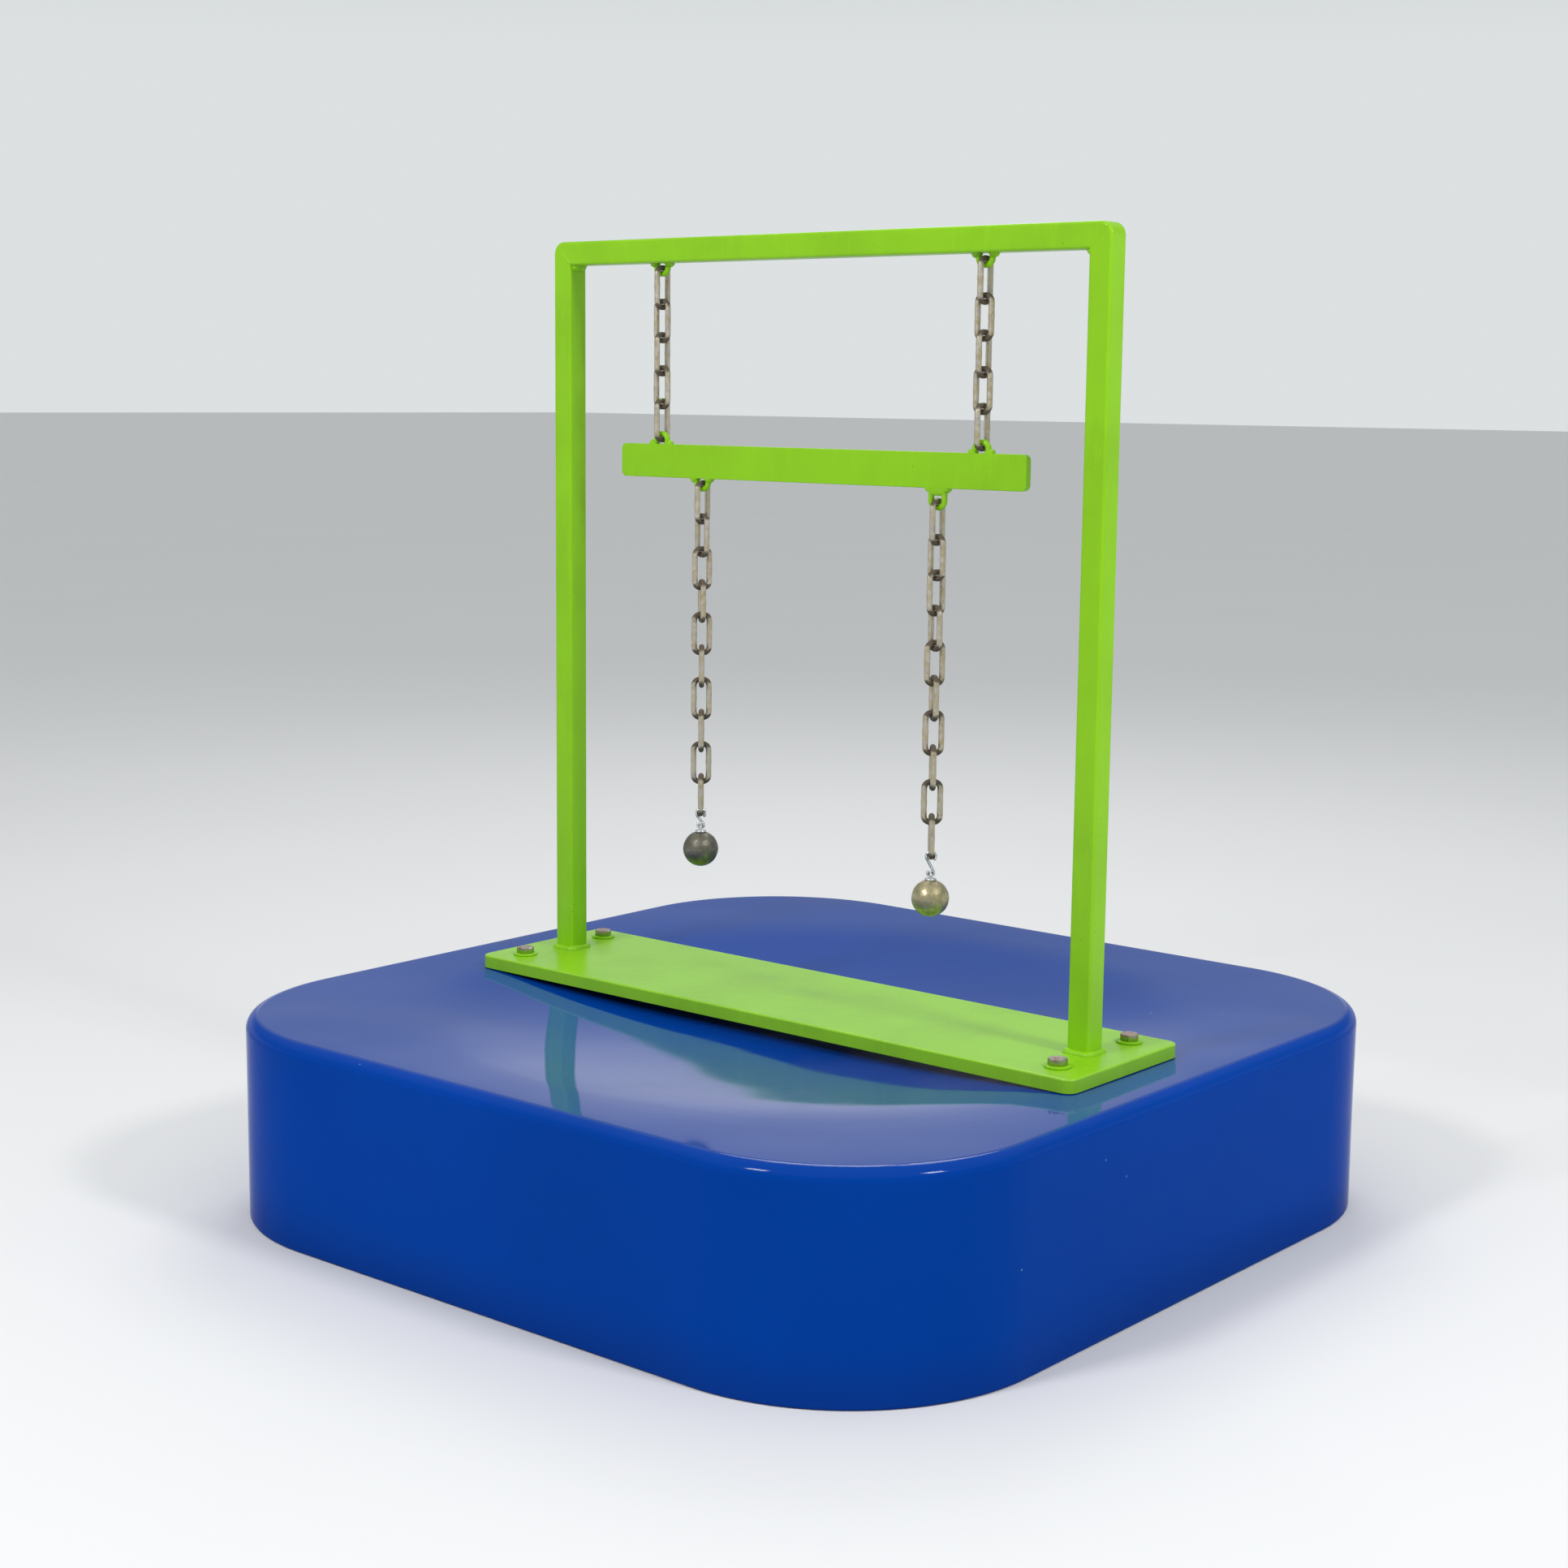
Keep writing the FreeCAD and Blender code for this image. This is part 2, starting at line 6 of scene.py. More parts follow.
import bmesh
import bpy
import numpy as np
from bpy.props import FloatProperty, FloatVectorProperty, IntProperty, PointerProperty
from mathutils import Matrix, Vector, noise

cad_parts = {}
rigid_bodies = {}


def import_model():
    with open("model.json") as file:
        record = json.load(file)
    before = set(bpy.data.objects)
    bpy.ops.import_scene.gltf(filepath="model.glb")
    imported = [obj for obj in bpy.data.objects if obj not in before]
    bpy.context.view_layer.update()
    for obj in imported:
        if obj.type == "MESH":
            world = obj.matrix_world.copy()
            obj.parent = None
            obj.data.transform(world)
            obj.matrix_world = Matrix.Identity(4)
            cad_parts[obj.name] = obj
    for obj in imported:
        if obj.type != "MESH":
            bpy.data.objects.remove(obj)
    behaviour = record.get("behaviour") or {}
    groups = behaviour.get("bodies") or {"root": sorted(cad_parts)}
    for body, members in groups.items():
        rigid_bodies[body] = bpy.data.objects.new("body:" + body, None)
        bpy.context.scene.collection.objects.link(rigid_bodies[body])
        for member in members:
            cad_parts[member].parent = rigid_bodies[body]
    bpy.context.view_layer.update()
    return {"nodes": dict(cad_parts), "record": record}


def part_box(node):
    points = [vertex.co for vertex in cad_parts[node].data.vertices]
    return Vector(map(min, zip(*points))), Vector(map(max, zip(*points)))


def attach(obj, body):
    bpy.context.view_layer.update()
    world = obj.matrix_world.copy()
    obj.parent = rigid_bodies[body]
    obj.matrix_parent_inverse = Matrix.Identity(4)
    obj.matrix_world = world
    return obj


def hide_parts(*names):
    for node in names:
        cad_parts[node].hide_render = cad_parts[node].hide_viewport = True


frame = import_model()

bl_info = {
    "name": "Chain Trapeze",
    "version": (1, 0, 0),
    "blender": (4, 5, 0),
    "location": "View3D > Sidebar > Trapeze",
    "description": "Builds a steel trapeze frame with chains and balls on a moulded block",
    "category": "Add Mesh",
}

SIDES = (("left", -1), ("right", 1))
UPPER_LINKS = 5
LOWER_LINKS = 10
MM = 0.001
WASHER_RADIUS = 13 * MM
WASHER_BORE = 5.5 * MM
BOLT_FLATS = 17 * MM
BOLT_RADIUS = 5 * MM
BOLT_PLAIN_LENGTH = 22 * MM
BOLT_PITCH = 1.5 * MM
CORNER_RUN = 4 * MM  # a tube's straight rings stop this far before its corner

behaviour = frame["record"]["behaviour"]
body_of_node = {node: body for body, nodes in behaviour["bodies"].items() for node in nodes}


# ---- sizes that come from the frame -------------------------------------------------------------


def middle(node):
    """Centre of a node's box."""
    low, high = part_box(node)
    return (low + high) / 2


def extent(node):
    """Length, depth and height of a node's box."""
    low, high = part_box(node)
    return high - low


def bow_direction(node):
    """Level direction of a link's bows: the axis of the hinge of what hangs on it."""
    hinges = [j for j in behaviour["joints"] if j["parent"] == body_of_node[node]]
    return Vector(hinges[0]["axis"]).normalized()


frame_middle = middle("base_plate")
plate_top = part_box("base_plate")[1].z


# ---- settings -----------------------------------------------------------------------------------


def length_setting(name, description, default):
    """A size in metres."""
    return FloatProperty(name=name, description=description, default=default, min=0.0,
                         unit="LENGTH", precision=4)


def colour_setting(name, description, default):
    """A colour, in linear light."""
    return FloatVectorProperty(name=name, description=description, default=default, size=3,
                               subtype="COLOR", min=0.0, max=1.0)


class BlockSettings(bpy.types.PropertyGroup):
    """The moulded block."""

    corner_radius: length_setting("Corner radius", "Radius of the upright corners", 0.208)
    rim_radius: length_setting("Rim radius", "Rounding between the top and the sides", 0.014)
    dish_radius: length_setting("Dish radius", "Radius of the dish in the top", 0.372)
    dish_flat: length_setting("Dish flat", "Radius of the level middle of the dish", 0.130)
    dish_depth: length_setting("Dish depth", "Depth of the dish", 0.011)
    wall: length_setting("Wall", "Thickness of the moulding", 0.006)
    colour: colour_setting("Gelcoat", "Colour of the gelcoat", (0.0, 0.047, 0.335))


class PaintSettings(bpy.types.PropertyGroup):
    """The painted steel."""

    plate_corner: length_setting("Plate corner", "Radius of the plate's corners", 0.012)
    plate_edge: length_setting("Plate edge", "Rounding of the plate's upper edge", 0.002)
    tube_edge: length_setting("Tube edge", "Rounding of the square tube's edges", 0.003)
    frame_corner: length_setting("Frame corner", "Radius of the ground outer corners", 0.013)
    foot_weld: length_setting("Foot weld", "Size of the bead round each foot", 0.005)
    corner_weld: length_setting("Corner weld", "Size of the bead in each inner corner", 0.007)
    bar_corner: length_setting("Bar corner", "Radius of the trapeze bar's corners", 0.006)
    bar_edge: length_setting("Bar edge", "Rounding of the trapeze bar's long edges", 0.0008)
    colour: colour_setting("Paint", "Colour of the paint", (0.262, 0.590, 0.008))


class ChainSettings(bpy.types.PropertyGroup):
    """Links and eyes."""

    wire: length_setting("Wire", "Diameter of the chain wire", 0.006)
    width: length_setting("Width", "Between the middles of a link's two long sides", 0.016)
    bend: length_setting("Bend", "Radius of a bend, to the middle of the wire", 0.0065)
    weld_swell: FloatProperty(name="Weld swell", description="How far a link's weld stands out",
                              default=0.09, min=0.0, max=0.3)
    sides: IntProperty(name="Sides", description="Faces round the wire", default=18, min=8)
    colour: colour_setting("Zinc", "Colour of the weathered zinc", (0.50, 0.42, 0.27))


class HangerSettings(bpy.types.PropertyGroup):
    """Hooks, eye bolts and balls."""

    hook_wire: length_setting("Hook wire", "Diameter of the hook's wire", 0.003)
    clearance: length_setting("Clearance", "Between two wires that hang in each other", 0.0001)
    ball_radius: length_setting("Ball radius", "Radius of a ball", 0.019)
    bolt_wire: length_setting("Eye wire", "Diameter of the eye bolt's wire", 0.003)
    bolt_width: length_setting("Eye width", "Between the middles of the eye bolt's legs", 0.008)
    collar: length_setting("Collar", "Radius of the eye bolt's collar", 0.006)
    iron: colour_setting("Iron", "Colour of the left ball", (0.20, 0.19, 0.145))
    bronze: colour_setting("Bronze", "Colour of the right ball", (0.50, 0.44, 0.26))


class StudioSettings(bpy.types.PropertyGroup):
    """Floor, lamps and camera."""

    floor: colour_setting("Floor", "Colour of the floor", (0.80, 0.80, 0.80))
    horizon: colour_setting("Horizon", "Light from low down, all round", (0.72, 0.75, 0.76))
    sky: colour_setting("Sky", "Light from a third of the way up", (0.27, 0.31, 0.30))
    overhead: colour_setting("Overhead", "Light from above", (0.72, 0.73, 0.75))
    lens: FloatProperty(name="Lens", description="Focal length in millimetres", default=58.62)
    azimuth: FloatProperty(name="Azimuth", description="Camera's turn about the object",
                           default=math.radians(39.95), subtype="ANGLE")
    elevation: FloatProperty(name="Elevation", description="Camera's height above the horizon",
                             default=math.radians(8.79), subtype="ANGLE")
    roll: FloatProperty(name="Roll", description="Camera's turn about its own axis",
                        default=math.radians(0.59), subtype="ANGLE")
    distance: length_setting("Distance", "From the camera to its target", 2.7232)
    target: FloatVectorProperty(name="Target", description="What the camera looks at", size=3,
                                default=(-0.0658, 0.0344, 0.4330), unit="LENGTH")


# ---- shader nodes -------------------------------------------------------------------------------


class Socket:
    """One output in a node tree. Arithmetic on it adds Math nodes."""

    def __init__(self, nodes, output):
        self.nodes = nodes
        self.output = output

    def math(self, operation, *values):
        return self.nodes.add("ShaderNodeMath", {"operation": operation}, dict(enumerate(values)))

    def __add__(self, other):
        return self.math("ADD", self, other)

    def __radd__(self, other):
        return self.math("ADD", other, self)

    def __sub__(self, other):
        return self.math("SUBTRACT", self, other)

    def __rsub__(self, other):
        return self.math("SUBTRACT", other, self)

    def __mul__(self, other):
        return self.math("MULTIPLY", self, other)

    def __rmul__(self, other):
        return self.math("MULTIPLY", other, self)

    def most(self, other):
        return self.math("MAXIMUM", self, other)


class Nodes:
    """A node tree that is built from Python expressions."""

    def __init__(self, tree):
        self.tree = tree
        self.tree.nodes.clear()

    def add(self, kind, settings=None, values=None, output=0):
        """One node: its settings come first, then a value or a link for each named socket."""
        node = self.tree.nodes.new(kind)
        for name, setting in (settings or {}).items():
            setattr(node, name, setting)
        for key, value in (values or {}).items():
            if isinstance(value, Socket):
                self.tree.links.new(value.output, node.inputs[key])
            else:
                node.inputs[key].default_value = value
        return Socket(self, node.outputs[output] if len(node.outputs) else None)

    def place(self, stretch=(1.0, 1.0, 1.0), shift=(0.0, 0.0, 0.0)):
        """Position on the resting object, stretched and shifted."""
        point = self.add("ShaderNodeTexCoord", output="Object")
        stretched = self.add("ShaderNodeVectorMath", {"operation": "MULTIPLY"},
                             {0: point, 1: stretch})
        return self.add("ShaderNodeVectorMath", {"operation": "ADD"}, {0: stretched, 1: shift})

    def cloud(self, place, grain, detail=3.0, rough=0.5, distortion=0.0):
        """Soft noise; grain is the size of its features in metres."""
        return self.add("ShaderNodeTexNoise", {},
                        {"Vector": place, "Scale": 1.0 / grain, "Detail": detail,
                         "Roughness": rough, "Distortion": distortion})

    def cells(self, place, grain):
        """Distance to the nearest of scattered points, in cells of one size."""
        return self.add("ShaderNodeTexVoronoi", {"feature": "F1"},
                        {"Vector": place, "Scale": 1.0 / grain})

    def ease(self, value, low, high):
        """0 below low, 1 above high, smooth between."""
        return self.add("ShaderNodeMapRange", {"interpolation_type": "SMOOTHSTEP"},
                        {0: value, 1: low, 2: high, 3: 0.0, 4: 1.0})

    def spots(self, place, grain, edge, patches, limits):
        """Small round spots, kept to the places where a broad noise is high."""
        dots = 1 - self.ease(self.cells(place, grain), *edge)
        return dots * self.ease(patches, *limits)

    def blend(self, under, over, share):
        """One colour over another."""
        return self.add("ShaderNodeMix", {"data_type": "RGBA"}, {0: share, 6: under, 7: over}, 2)

    def marked(self, name):
        """A value stored in the mesh."""
        return self.add("ShaderNodeAttribute", {"attribute_name": name}, output="Fac")

    def height_along(self, place, axis):
        """One coordinate of a position."""
        return self.add("ShaderNodeSeparateXYZ", {}, {0: place}, axis)

    def relief(self, height, depth, under=None):
        """Surface normal from a height; depth is how many metres a height of 1 stands for."""
        values = {"Height": height, "Distance": depth, "Strength": 1.0}
        if under is not None:
            values["Normal"] = under
        return self.add("ShaderNodeBump", {}, values)


def rgba(colour, scale=1.0):
    """A colour with full opacity."""
    return tuple(channel * scale for channel in colour[:3]) + (1.0,)


def finished(name, paint):
    """A new material; paint takes its nodes and returns a shader, or the values of its sockets."""
    material = bpy.data.materials.new(name)
    material.use_nodes = True
    nodes = Nodes(material.node_tree)
    shader = paint(nodes)
    if isinstance(shader, dict):
        shader = nodes.add("ShaderNodeBsdfPrincipled", {}, shader)
    nodes.add("ShaderNodeOutputMaterial", {}, {"Surface": shader})
    return material


def material_called(name, paint):
    """The material of that name, made on first use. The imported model's own are named for its slots."""
    return bpy.data.materials.get(name) or finished(name, paint)


def green_paint(name="lime_gloss_paint", ior=1.30):
    """Lime gloss paint on steel: orange peel, specks, and bare metal where chain or washer rubs."""
    settings = bpy.context.scene.trapeze_paint

    def paint(nodes):
        place = nodes.place()
        broad = nodes.ease(nodes.cloud(place, 0.11, 3.0), 0.38, 0.68)
        tone = nodes.blend(rgba(settings.colour), rgba(settings.colour, 0.90), broad)
        streak = nodes.cloud(nodes.place((1.0, 1.0, 0.16)), 0.012, 3.0, 0.6)
        tone = nodes.blend(tone, rgba(settings.colour, 1.08), nodes.ease(streak, 0.5, 0.75) * 0.5)
        specks = nodes.spots(place, 0.011, (0.035, 0.075), nodes.cloud(place, 0.05, 2.0),
                             (0.55, 0.66))
        tone = nodes.blend(tone, (0.030, 0.055, 0.008, 1.0), specks * 0.85)
        ragged = nodes.cloud(place, 0.0028, 4.0, 0.65)
        bare = nodes.ease(nodes.marked("rub") + ragged, 1.02, 1.14)
        edge = nodes.ease(nodes.marked("rub") + ragged, 0.90, 1.04) - bare
        tone = nodes.blend(tone, rgba(settings.colour, 0.45), edge * 0.8)
        tone = nodes.blend(tone, (0.23, 0.20, 0.165, 1.0), bare)
        peel = nodes.relief(nodes.cloud(place, 0.0022, 2.0), 0.00006)
        runs = nodes.relief(nodes.cloud(place, 0.016, 2.0), 0.00022, peel)
        chips = nodes.relief(1 - bare, 0.00015, runs)
        gloss = 0.25 + 0.10 * nodes.cloud(place, 0.03, 4.0) + 0.22 * bare
        return {"Base Color": tone, "Roughness": gloss, "Metallic": bare * 0.75, "IOR": ior,
                "Coat Weight": 0.10 * (1 - bare), "Coat Roughness": 0.12, "Normal": chips}

    return material_called(name, paint)


def blue_gelcoat():
    """Glossy royal blue gelcoat: faint waves, smudges, a few specks, fine scuffs, and painted shade
    darkening the sides towards the floor.

    The top mirrors fully and the upright sides hardly at all. Beyond the dish the relief makes the
    top mirror as if it rose gently towards the rim."""
    settings = bpy.context.scene.trapeze_block
    slope = 0.075
    slope_start = 0.06

    def paint(nodes):
        place = nodes.place()
        low = nodes.ease(nodes.cloud(place, 0.35, 3.0), 0.35, 0.70)
        tone = nodes.blend(rgba(settings.colour), rgba(settings.colour, 0.90), low)
        height = nodes.height_along(place, "Z")
        # painted shade: a darker blue in a ragged band up to about 75 mm, where the block meets the
        # floor
        foot = 1 - nodes.ease(height + 0.03 * nodes.cloud(place, 0.06, 3.0), 0.015, 0.075)
        tone = nodes.blend(tone, (0.004, 0.030, 0.200, 1.0), foot * 0.45)
        patches = nodes.cloud(nodes.place(shift=(3.0, 1.0, 2.0)), 0.16, 2.0)
        specks = nodes.spots(place, 0.034, (0.020, 0.038), patches, (0.56, 0.62))
        tone = nodes.blend(tone, (0.16, 0.30, 0.42, 1.0), specks * 0.8)
        patches = nodes.cloud(nodes.place(shift=(7.0, 5.0, 1.0)), 0.12, 2.0)
        pits = nodes.spots(nodes.place(shift=(0.4, 0.9, 0.2)), 0.027, (0.020, 0.036), patches,
                           (0.58, 0.64))
        tone = nodes.blend(tone, (0.001, 0.010, 0.060, 1.0), pits * 0.8)
        haze = nodes.ease(nodes.cloud(nodes.place((1.0, 1.0, 2.0)), 0.09, 5.0, 0.6), 0.50, 0.72)
        scuffs = nodes.ease(nodes.cloud(nodes.place((1.0, 14.0, 1.0)), 0.03, 3.0), 0.62, 0.70)
        gloss = 0.055 + 0.05 * haze + 0.05 * scuffs + 0.3 * specks
        middle_shift = (-frame_middle.x, -frame_middle.y, 0.0)
        flat_place = nodes.add("ShaderNodeVectorMath", {"operation": "MULTIPLY"},
                               {0: nodes.place(shift=middle_shift), 1: (1.0, 1.0, 0.0)})
        away = nodes.add("ShaderNodeVectorMath", {"operation": "LENGTH"}, {0: flat_place}, "Value")
        beyond = away - settings.dish_radius
        rise = 0.5 * (beyond + (beyond * beyond + slope_start ** 2).math("SQRT"))
        cupped = nodes.relief(rise, slope)
        waves = nodes.relief(nodes.cloud(place, 0.22, 1.0), 0.0011, cupped)
        print_through = nodes.relief(nodes.cloud(place, 0.004, 2.0), 0.000008, waves)
        dots = nodes.relief(specks - pits, 0.0002, print_through)
        glassy, chalked = [
            nodes.add("ShaderNodeBsdfPrincipled", {}, {
                "Base Color": tone, "Roughness": roughness, "IOR": ior, "Normal": dots})
            for roughness, ior in ((gloss, 1.45), (gloss + 0.04, 1.06))]
        upward = nodes.height_along(nodes.add("ShaderNodeNewGeometry", output="Normal"), "Z")
        shine = 0.03 + 0.17 * nodes.ease(upward, 0.1, 0.5) + 0.80 * nodes.ease(upward, 0.93, 0.99)
        return nodes.add("ShaderNodeMixShader", {}, {0: shine, 1: chalked, 2: glassy})

    return material_called("royal_gelcoat", paint)


def chain_zinc():
    """Weathered zinc on chain wire: brassy grey with a violet cast, brown in the bends."""
    settings = bpy.context.scene.trapeze_chain

    def paint(nodes):
        place = nodes.place()
        mottle = nodes.ease(nodes.cloud(place, 0.0060, 4.0, 0.6), 0.36, 0.66)
        tone = nodes.blend(rgba(settings.colour), (0.58, 0.53, 0.44, 1.0), mottle)
        violet = nodes.ease(nodes.cloud(nodes.place(shift=(2.0, 2.0, 2.0)), 0.009, 3.0), 0.5, 0.7)
        tone = nodes.blend(tone, (0.50, 0.47, 0.50, 1.0), violet * 0.45)
        stain = nodes.cloud(place, 0.0035, 5.0, 0.65)
        dirt = nodes.ease(nodes.marked("grime") * 0.75 + stain, 0.70, 1.12)
        tone = nodes.blend(tone, (0.060, 0.040, 0.022, 1.0), dirt * 0.90)
        drips = nodes.ease(nodes.cloud(nodes.place((1.0, 1.0, 0.3)), 0.0035, 4.0, 0.6), 0.58, 0.72)
        tone = nodes.blend(tone, (0.19, 0.125, 0.060, 1.0), drips * 0.55)
        traces = nodes.ease(nodes.marked("paint_trace") + nodes.cloud(place, 0.003, 3.0), 1.0, 1.1)
        tone = nodes.blend(tone, (0.22, 0.42, 0.03, 1.0), traces)
        gloss = 0.34 + 0.16 * mottle + 0.28 * dirt
        metal = 0.80 - 0.55 * dirt - 0.2 * drips
        rough_cast = nodes.relief(stain, 0.00022)
        pits = nodes.relief(nodes.cloud(place, 0.0009, 2.0), 0.00007, rough_cast)
        return {"Base Color": tone, "Roughness": gloss, "Metallic": metal, "IOR": 1.5,
                "Normal": pits}

    return material_called("weathered_chain_zinc", paint)


def bright_steel():
    """Plated hook wire: bright, with fine drawing lines and a little tarnish."""

    def paint(nodes):
        place = nodes.place()
        lines = nodes.cloud(nodes.place((1.0, 1.0, 0.2)), 0.0007, 3.0)
        tarnish = nodes.ease(nodes.cloud(place, 0.004, 4.0), 0.5, 0.72)
        tone = nodes.blend((0.72, 0.73, 0.72, 1.0), (0.30, 0.27, 0.21, 1.0), tarnish * 0.8)
        return {"Base Color": tone, "Roughness": 0.20 + 0.2 * tarnish + 0.1 * lines,
                "Metallic": 1.0, "Normal": nodes.relief(lines, 0.00003)}

    return material_called("plated_wire", paint)


def ball_metal(name, colour, dull, worn_colour, gloss_low):
    """Cast ball: mottled skin, dents, and brighter metal where it has knocked about."""

    def paint(nodes):
        place = nodes.place()
        mottle = nodes.ease(nodes.cloud(place, 0.010, 5.0, 0.6), 0.34, 0.68)
        tone = nodes.blend(rgba(colour), rgba(dull), mottle)
        worn = nodes.ease(nodes.cloud(place, 0.0032, 5.0, 0.7), 0.56, 0.68)
        tone = nodes.blend(tone, rgba(worn_colour), worn * 0.7)
        pits = nodes.spots(place, 0.0048, (0.09, 0.22), nodes.cloud(place, 0.012, 2.0),
                           (0.48, 0.60))
        tone = nodes.blend(tone, rgba(dull, 0.35), pits * 0.75)
        skin = nodes.relief(nodes.cloud(place, 0.0040, 4.0, 0.6), 0.00030)
        dents = nodes.relief(1 - pits, 0.00025, skin)
        return {"Base Color": tone, "Roughness": gloss_low + 0.22 * mottle + 0.15 * pits,
                "Metallic": 0.85 - 0.25 * mottle, "IOR": 1.5, "Normal": dents}

    return material_called(name, paint)


def worn_bolt():
    """Bolt head: greyish zinc with pinkish rust bloom and scraps of green paint."""
    settings = bpy.context.scene.trapeze_paint

    def paint(nodes):
        place = nodes.place()
        bloom = nodes.ease(nodes.cloud(place, 0.0055, 4.0), 0.42, 0.64)
        tone = nodes.blend((0.40, 0.36, 0.33, 1.0), (0.34, 0.22, 0.19, 1.0), bloom)
        scraps = nodes.ease(nodes.cloud(place, 0.0032, 4.0, 0.65) + 0.35 * nodes.marked("rub"),
                            0.62, 0.70)
        tone = nodes.blend(tone, rgba(settings.colour, 0.55), scraps)
        dirt = nodes.ease(nodes.cloud(place, 0.0017, 4.0, 0.7), 0.56, 0.72)
        tone = nodes.blend(tone, (0.035, 0.028, 0.020, 1.0), dirt * 0.7)
        surface = nodes.relief(nodes.cloud(place, 0.0014, 4.0, 0.6), 0.00022)
        return {"Base Color": tone, "Roughness": 0.33 + 0.25 * bloom, "IOR": 1.5,
                "Metallic": 0.85 - 0.80 * scraps.most(dirt), "Normal": surface}

    return material_called("worn_bolt_heads", paint)


def zinc_steel():
    """Plated steel inside the block: spangle, and patches of rust."""

    def paint(nodes):
        place = nodes.place()
        spangle = nodes.ease(nodes.cells(place, 0.006), 0.1, 0.6)
        tone = nodes.blend((0.52, 0.53, 0.54, 1.0), (0.36, 0.37, 0.39, 1.0), spangle)
        rust = nodes.ease(nodes.cloud(place, 0.010, 5.0, 0.65), 0.60, 0.70)
        tone = nodes.blend(tone, (0.20, 0.085, 0.030, 1.0), rust * 0.8)
        grain = nodes.relief(nodes.cloud(place, 0.0012, 3.0), 0.00008)
        return {"Base Color": tone, "Roughness": 0.32 + 0.2 * spangle + 0.25 * rust,
                "Metallic": 0.95 - 0.75 * rust, "Normal": grain}

    return material_called("spangled_zinc", paint)


def plywood():
    """Birch plywood: long grain, pores and grey handling marks."""

    def paint(nodes):
        grain_place = nodes.place((1.0, 12.0, 1.0))
        rings = nodes.cloud(nodes.place((0.5, 5.0, 1.0)), 0.16, 4.0, 0.5, 1.2)
        tone = nodes.blend((0.55, 0.38, 0.215, 1.0), (0.40, 0.250, 0.125, 1.0),
                           nodes.ease(rings, 0.40, 0.62))
        pores = nodes.ease(nodes.cloud(grain_place, 0.014, 4.0, 0.6), 0.58, 0.70)
        tone = nodes.blend(tone, (0.18, 0.10, 0.045, 1.0), pores * 0.6)
        smears = nodes.ease(nodes.cloud(nodes.place(), 0.14, 4.0), 0.55, 0.75)
        tone = nodes.blend(tone, (0.24, 0.21, 0.18, 1.0), smears * 0.4)
        fibres = nodes.relief(nodes.cloud(grain_place, 0.006, 4.0), 0.00025)
        return {"Base Color": tone, "Roughness": 0.62 + 0.15 * smears, "Normal": fibres}

    return material_called("birch_plywood", paint)


def pale_floor():
    """Matt studio floor."""
    settings = bpy.context.scene.trapeze_studio

    def paint(nodes):
        tone = nodes.blend(rgba(settings.floor), rgba(settings.floor, 0.97),
                           nodes.cloud(nodes.place(), 0.8, 3.0))
        return {"Base Color": tone, "Roughness": 0.85}

    return material_called("pale_floor", paint)


# ---- surfaces -----------------------------------------------------------------------------------


def skin(rings, loop=False):
    """Faces between rings of equal length; the two end rings are closed unless it is a loop."""
    rings = np.array(rings, float)
    count, around = rings.shape[:2]
    faces = []
    for ring in range(count if loop else count - 1):
        following = (ring + 1) % count
        for place in range(around):
            beside = (place + 1) % around
            faces.append((ring * around + place, ring * around + beside,
                          following * around + beside, following * around + place))
    if not loop:
        faces.append(tuple(range(around)))
        faces.append(tuple(range((count - 1) * around, count * around)))
    return rings.reshape(-1, 3), faces


def turned(profile, x, y, steps, loop=False):
    """A solid of revolution about an upright axis; the profile is (radius, height) pairs."""
    angles = np.linspace(0, math.tau, steps, endpoint=False)
    rings = [np.column_stack([x + radius * np.cos(angles), y + radius * np.sin(angles),
                              np.full(steps, height)]) for radius, height in profile]
    return skin(rings, loop)


def arc(centre, radius, start, end, steps):
    """Points on an arc in a plane; angles in degrees, both ends included."""
    angles = np.radians(np.linspace(start, end, steps))
    return [(centre[0] + radius * math.cos(a), centre[1] + radius * math.sin(a)) for a in angles]


def rounded_outline(half_x, half_y, radius, corner_steps, side_steps):
    """Points round a rounded rectangle, anticlockwise; the counts keep two outlines in step."""
    corners = ((half_x, half_y, 0), (-half_x, half_y, 90), (-half_x, -half_y, 180),
               (half_x, -half_y, 270))
    points = []
    for index, (x, y, start) in enumerate(corners):
        centre = (x - math.copysign(radius, x), y - math.copysign(radius, y))
        points += arc(centre, radius, start, start + 90, corner_steps)
        after_x, after_y, _ = corners[(index + 1) % 4]
        after = (after_x - math.copysign(radius, after_x), after_y - math.copysign(radius, after_y))
        angle = math.radians(start + 90)
        reach = (radius * math.cos(angle), radius * math.sin(angle))
        for step in range(1, side_steps):
            share = step / side_steps
            points.append((centre[0] + (after[0] - centre[0]) * share + reach[0],
                           centre[1] + (after[1] - centre[1]) * share + reach[1]))
    return np.array(points)


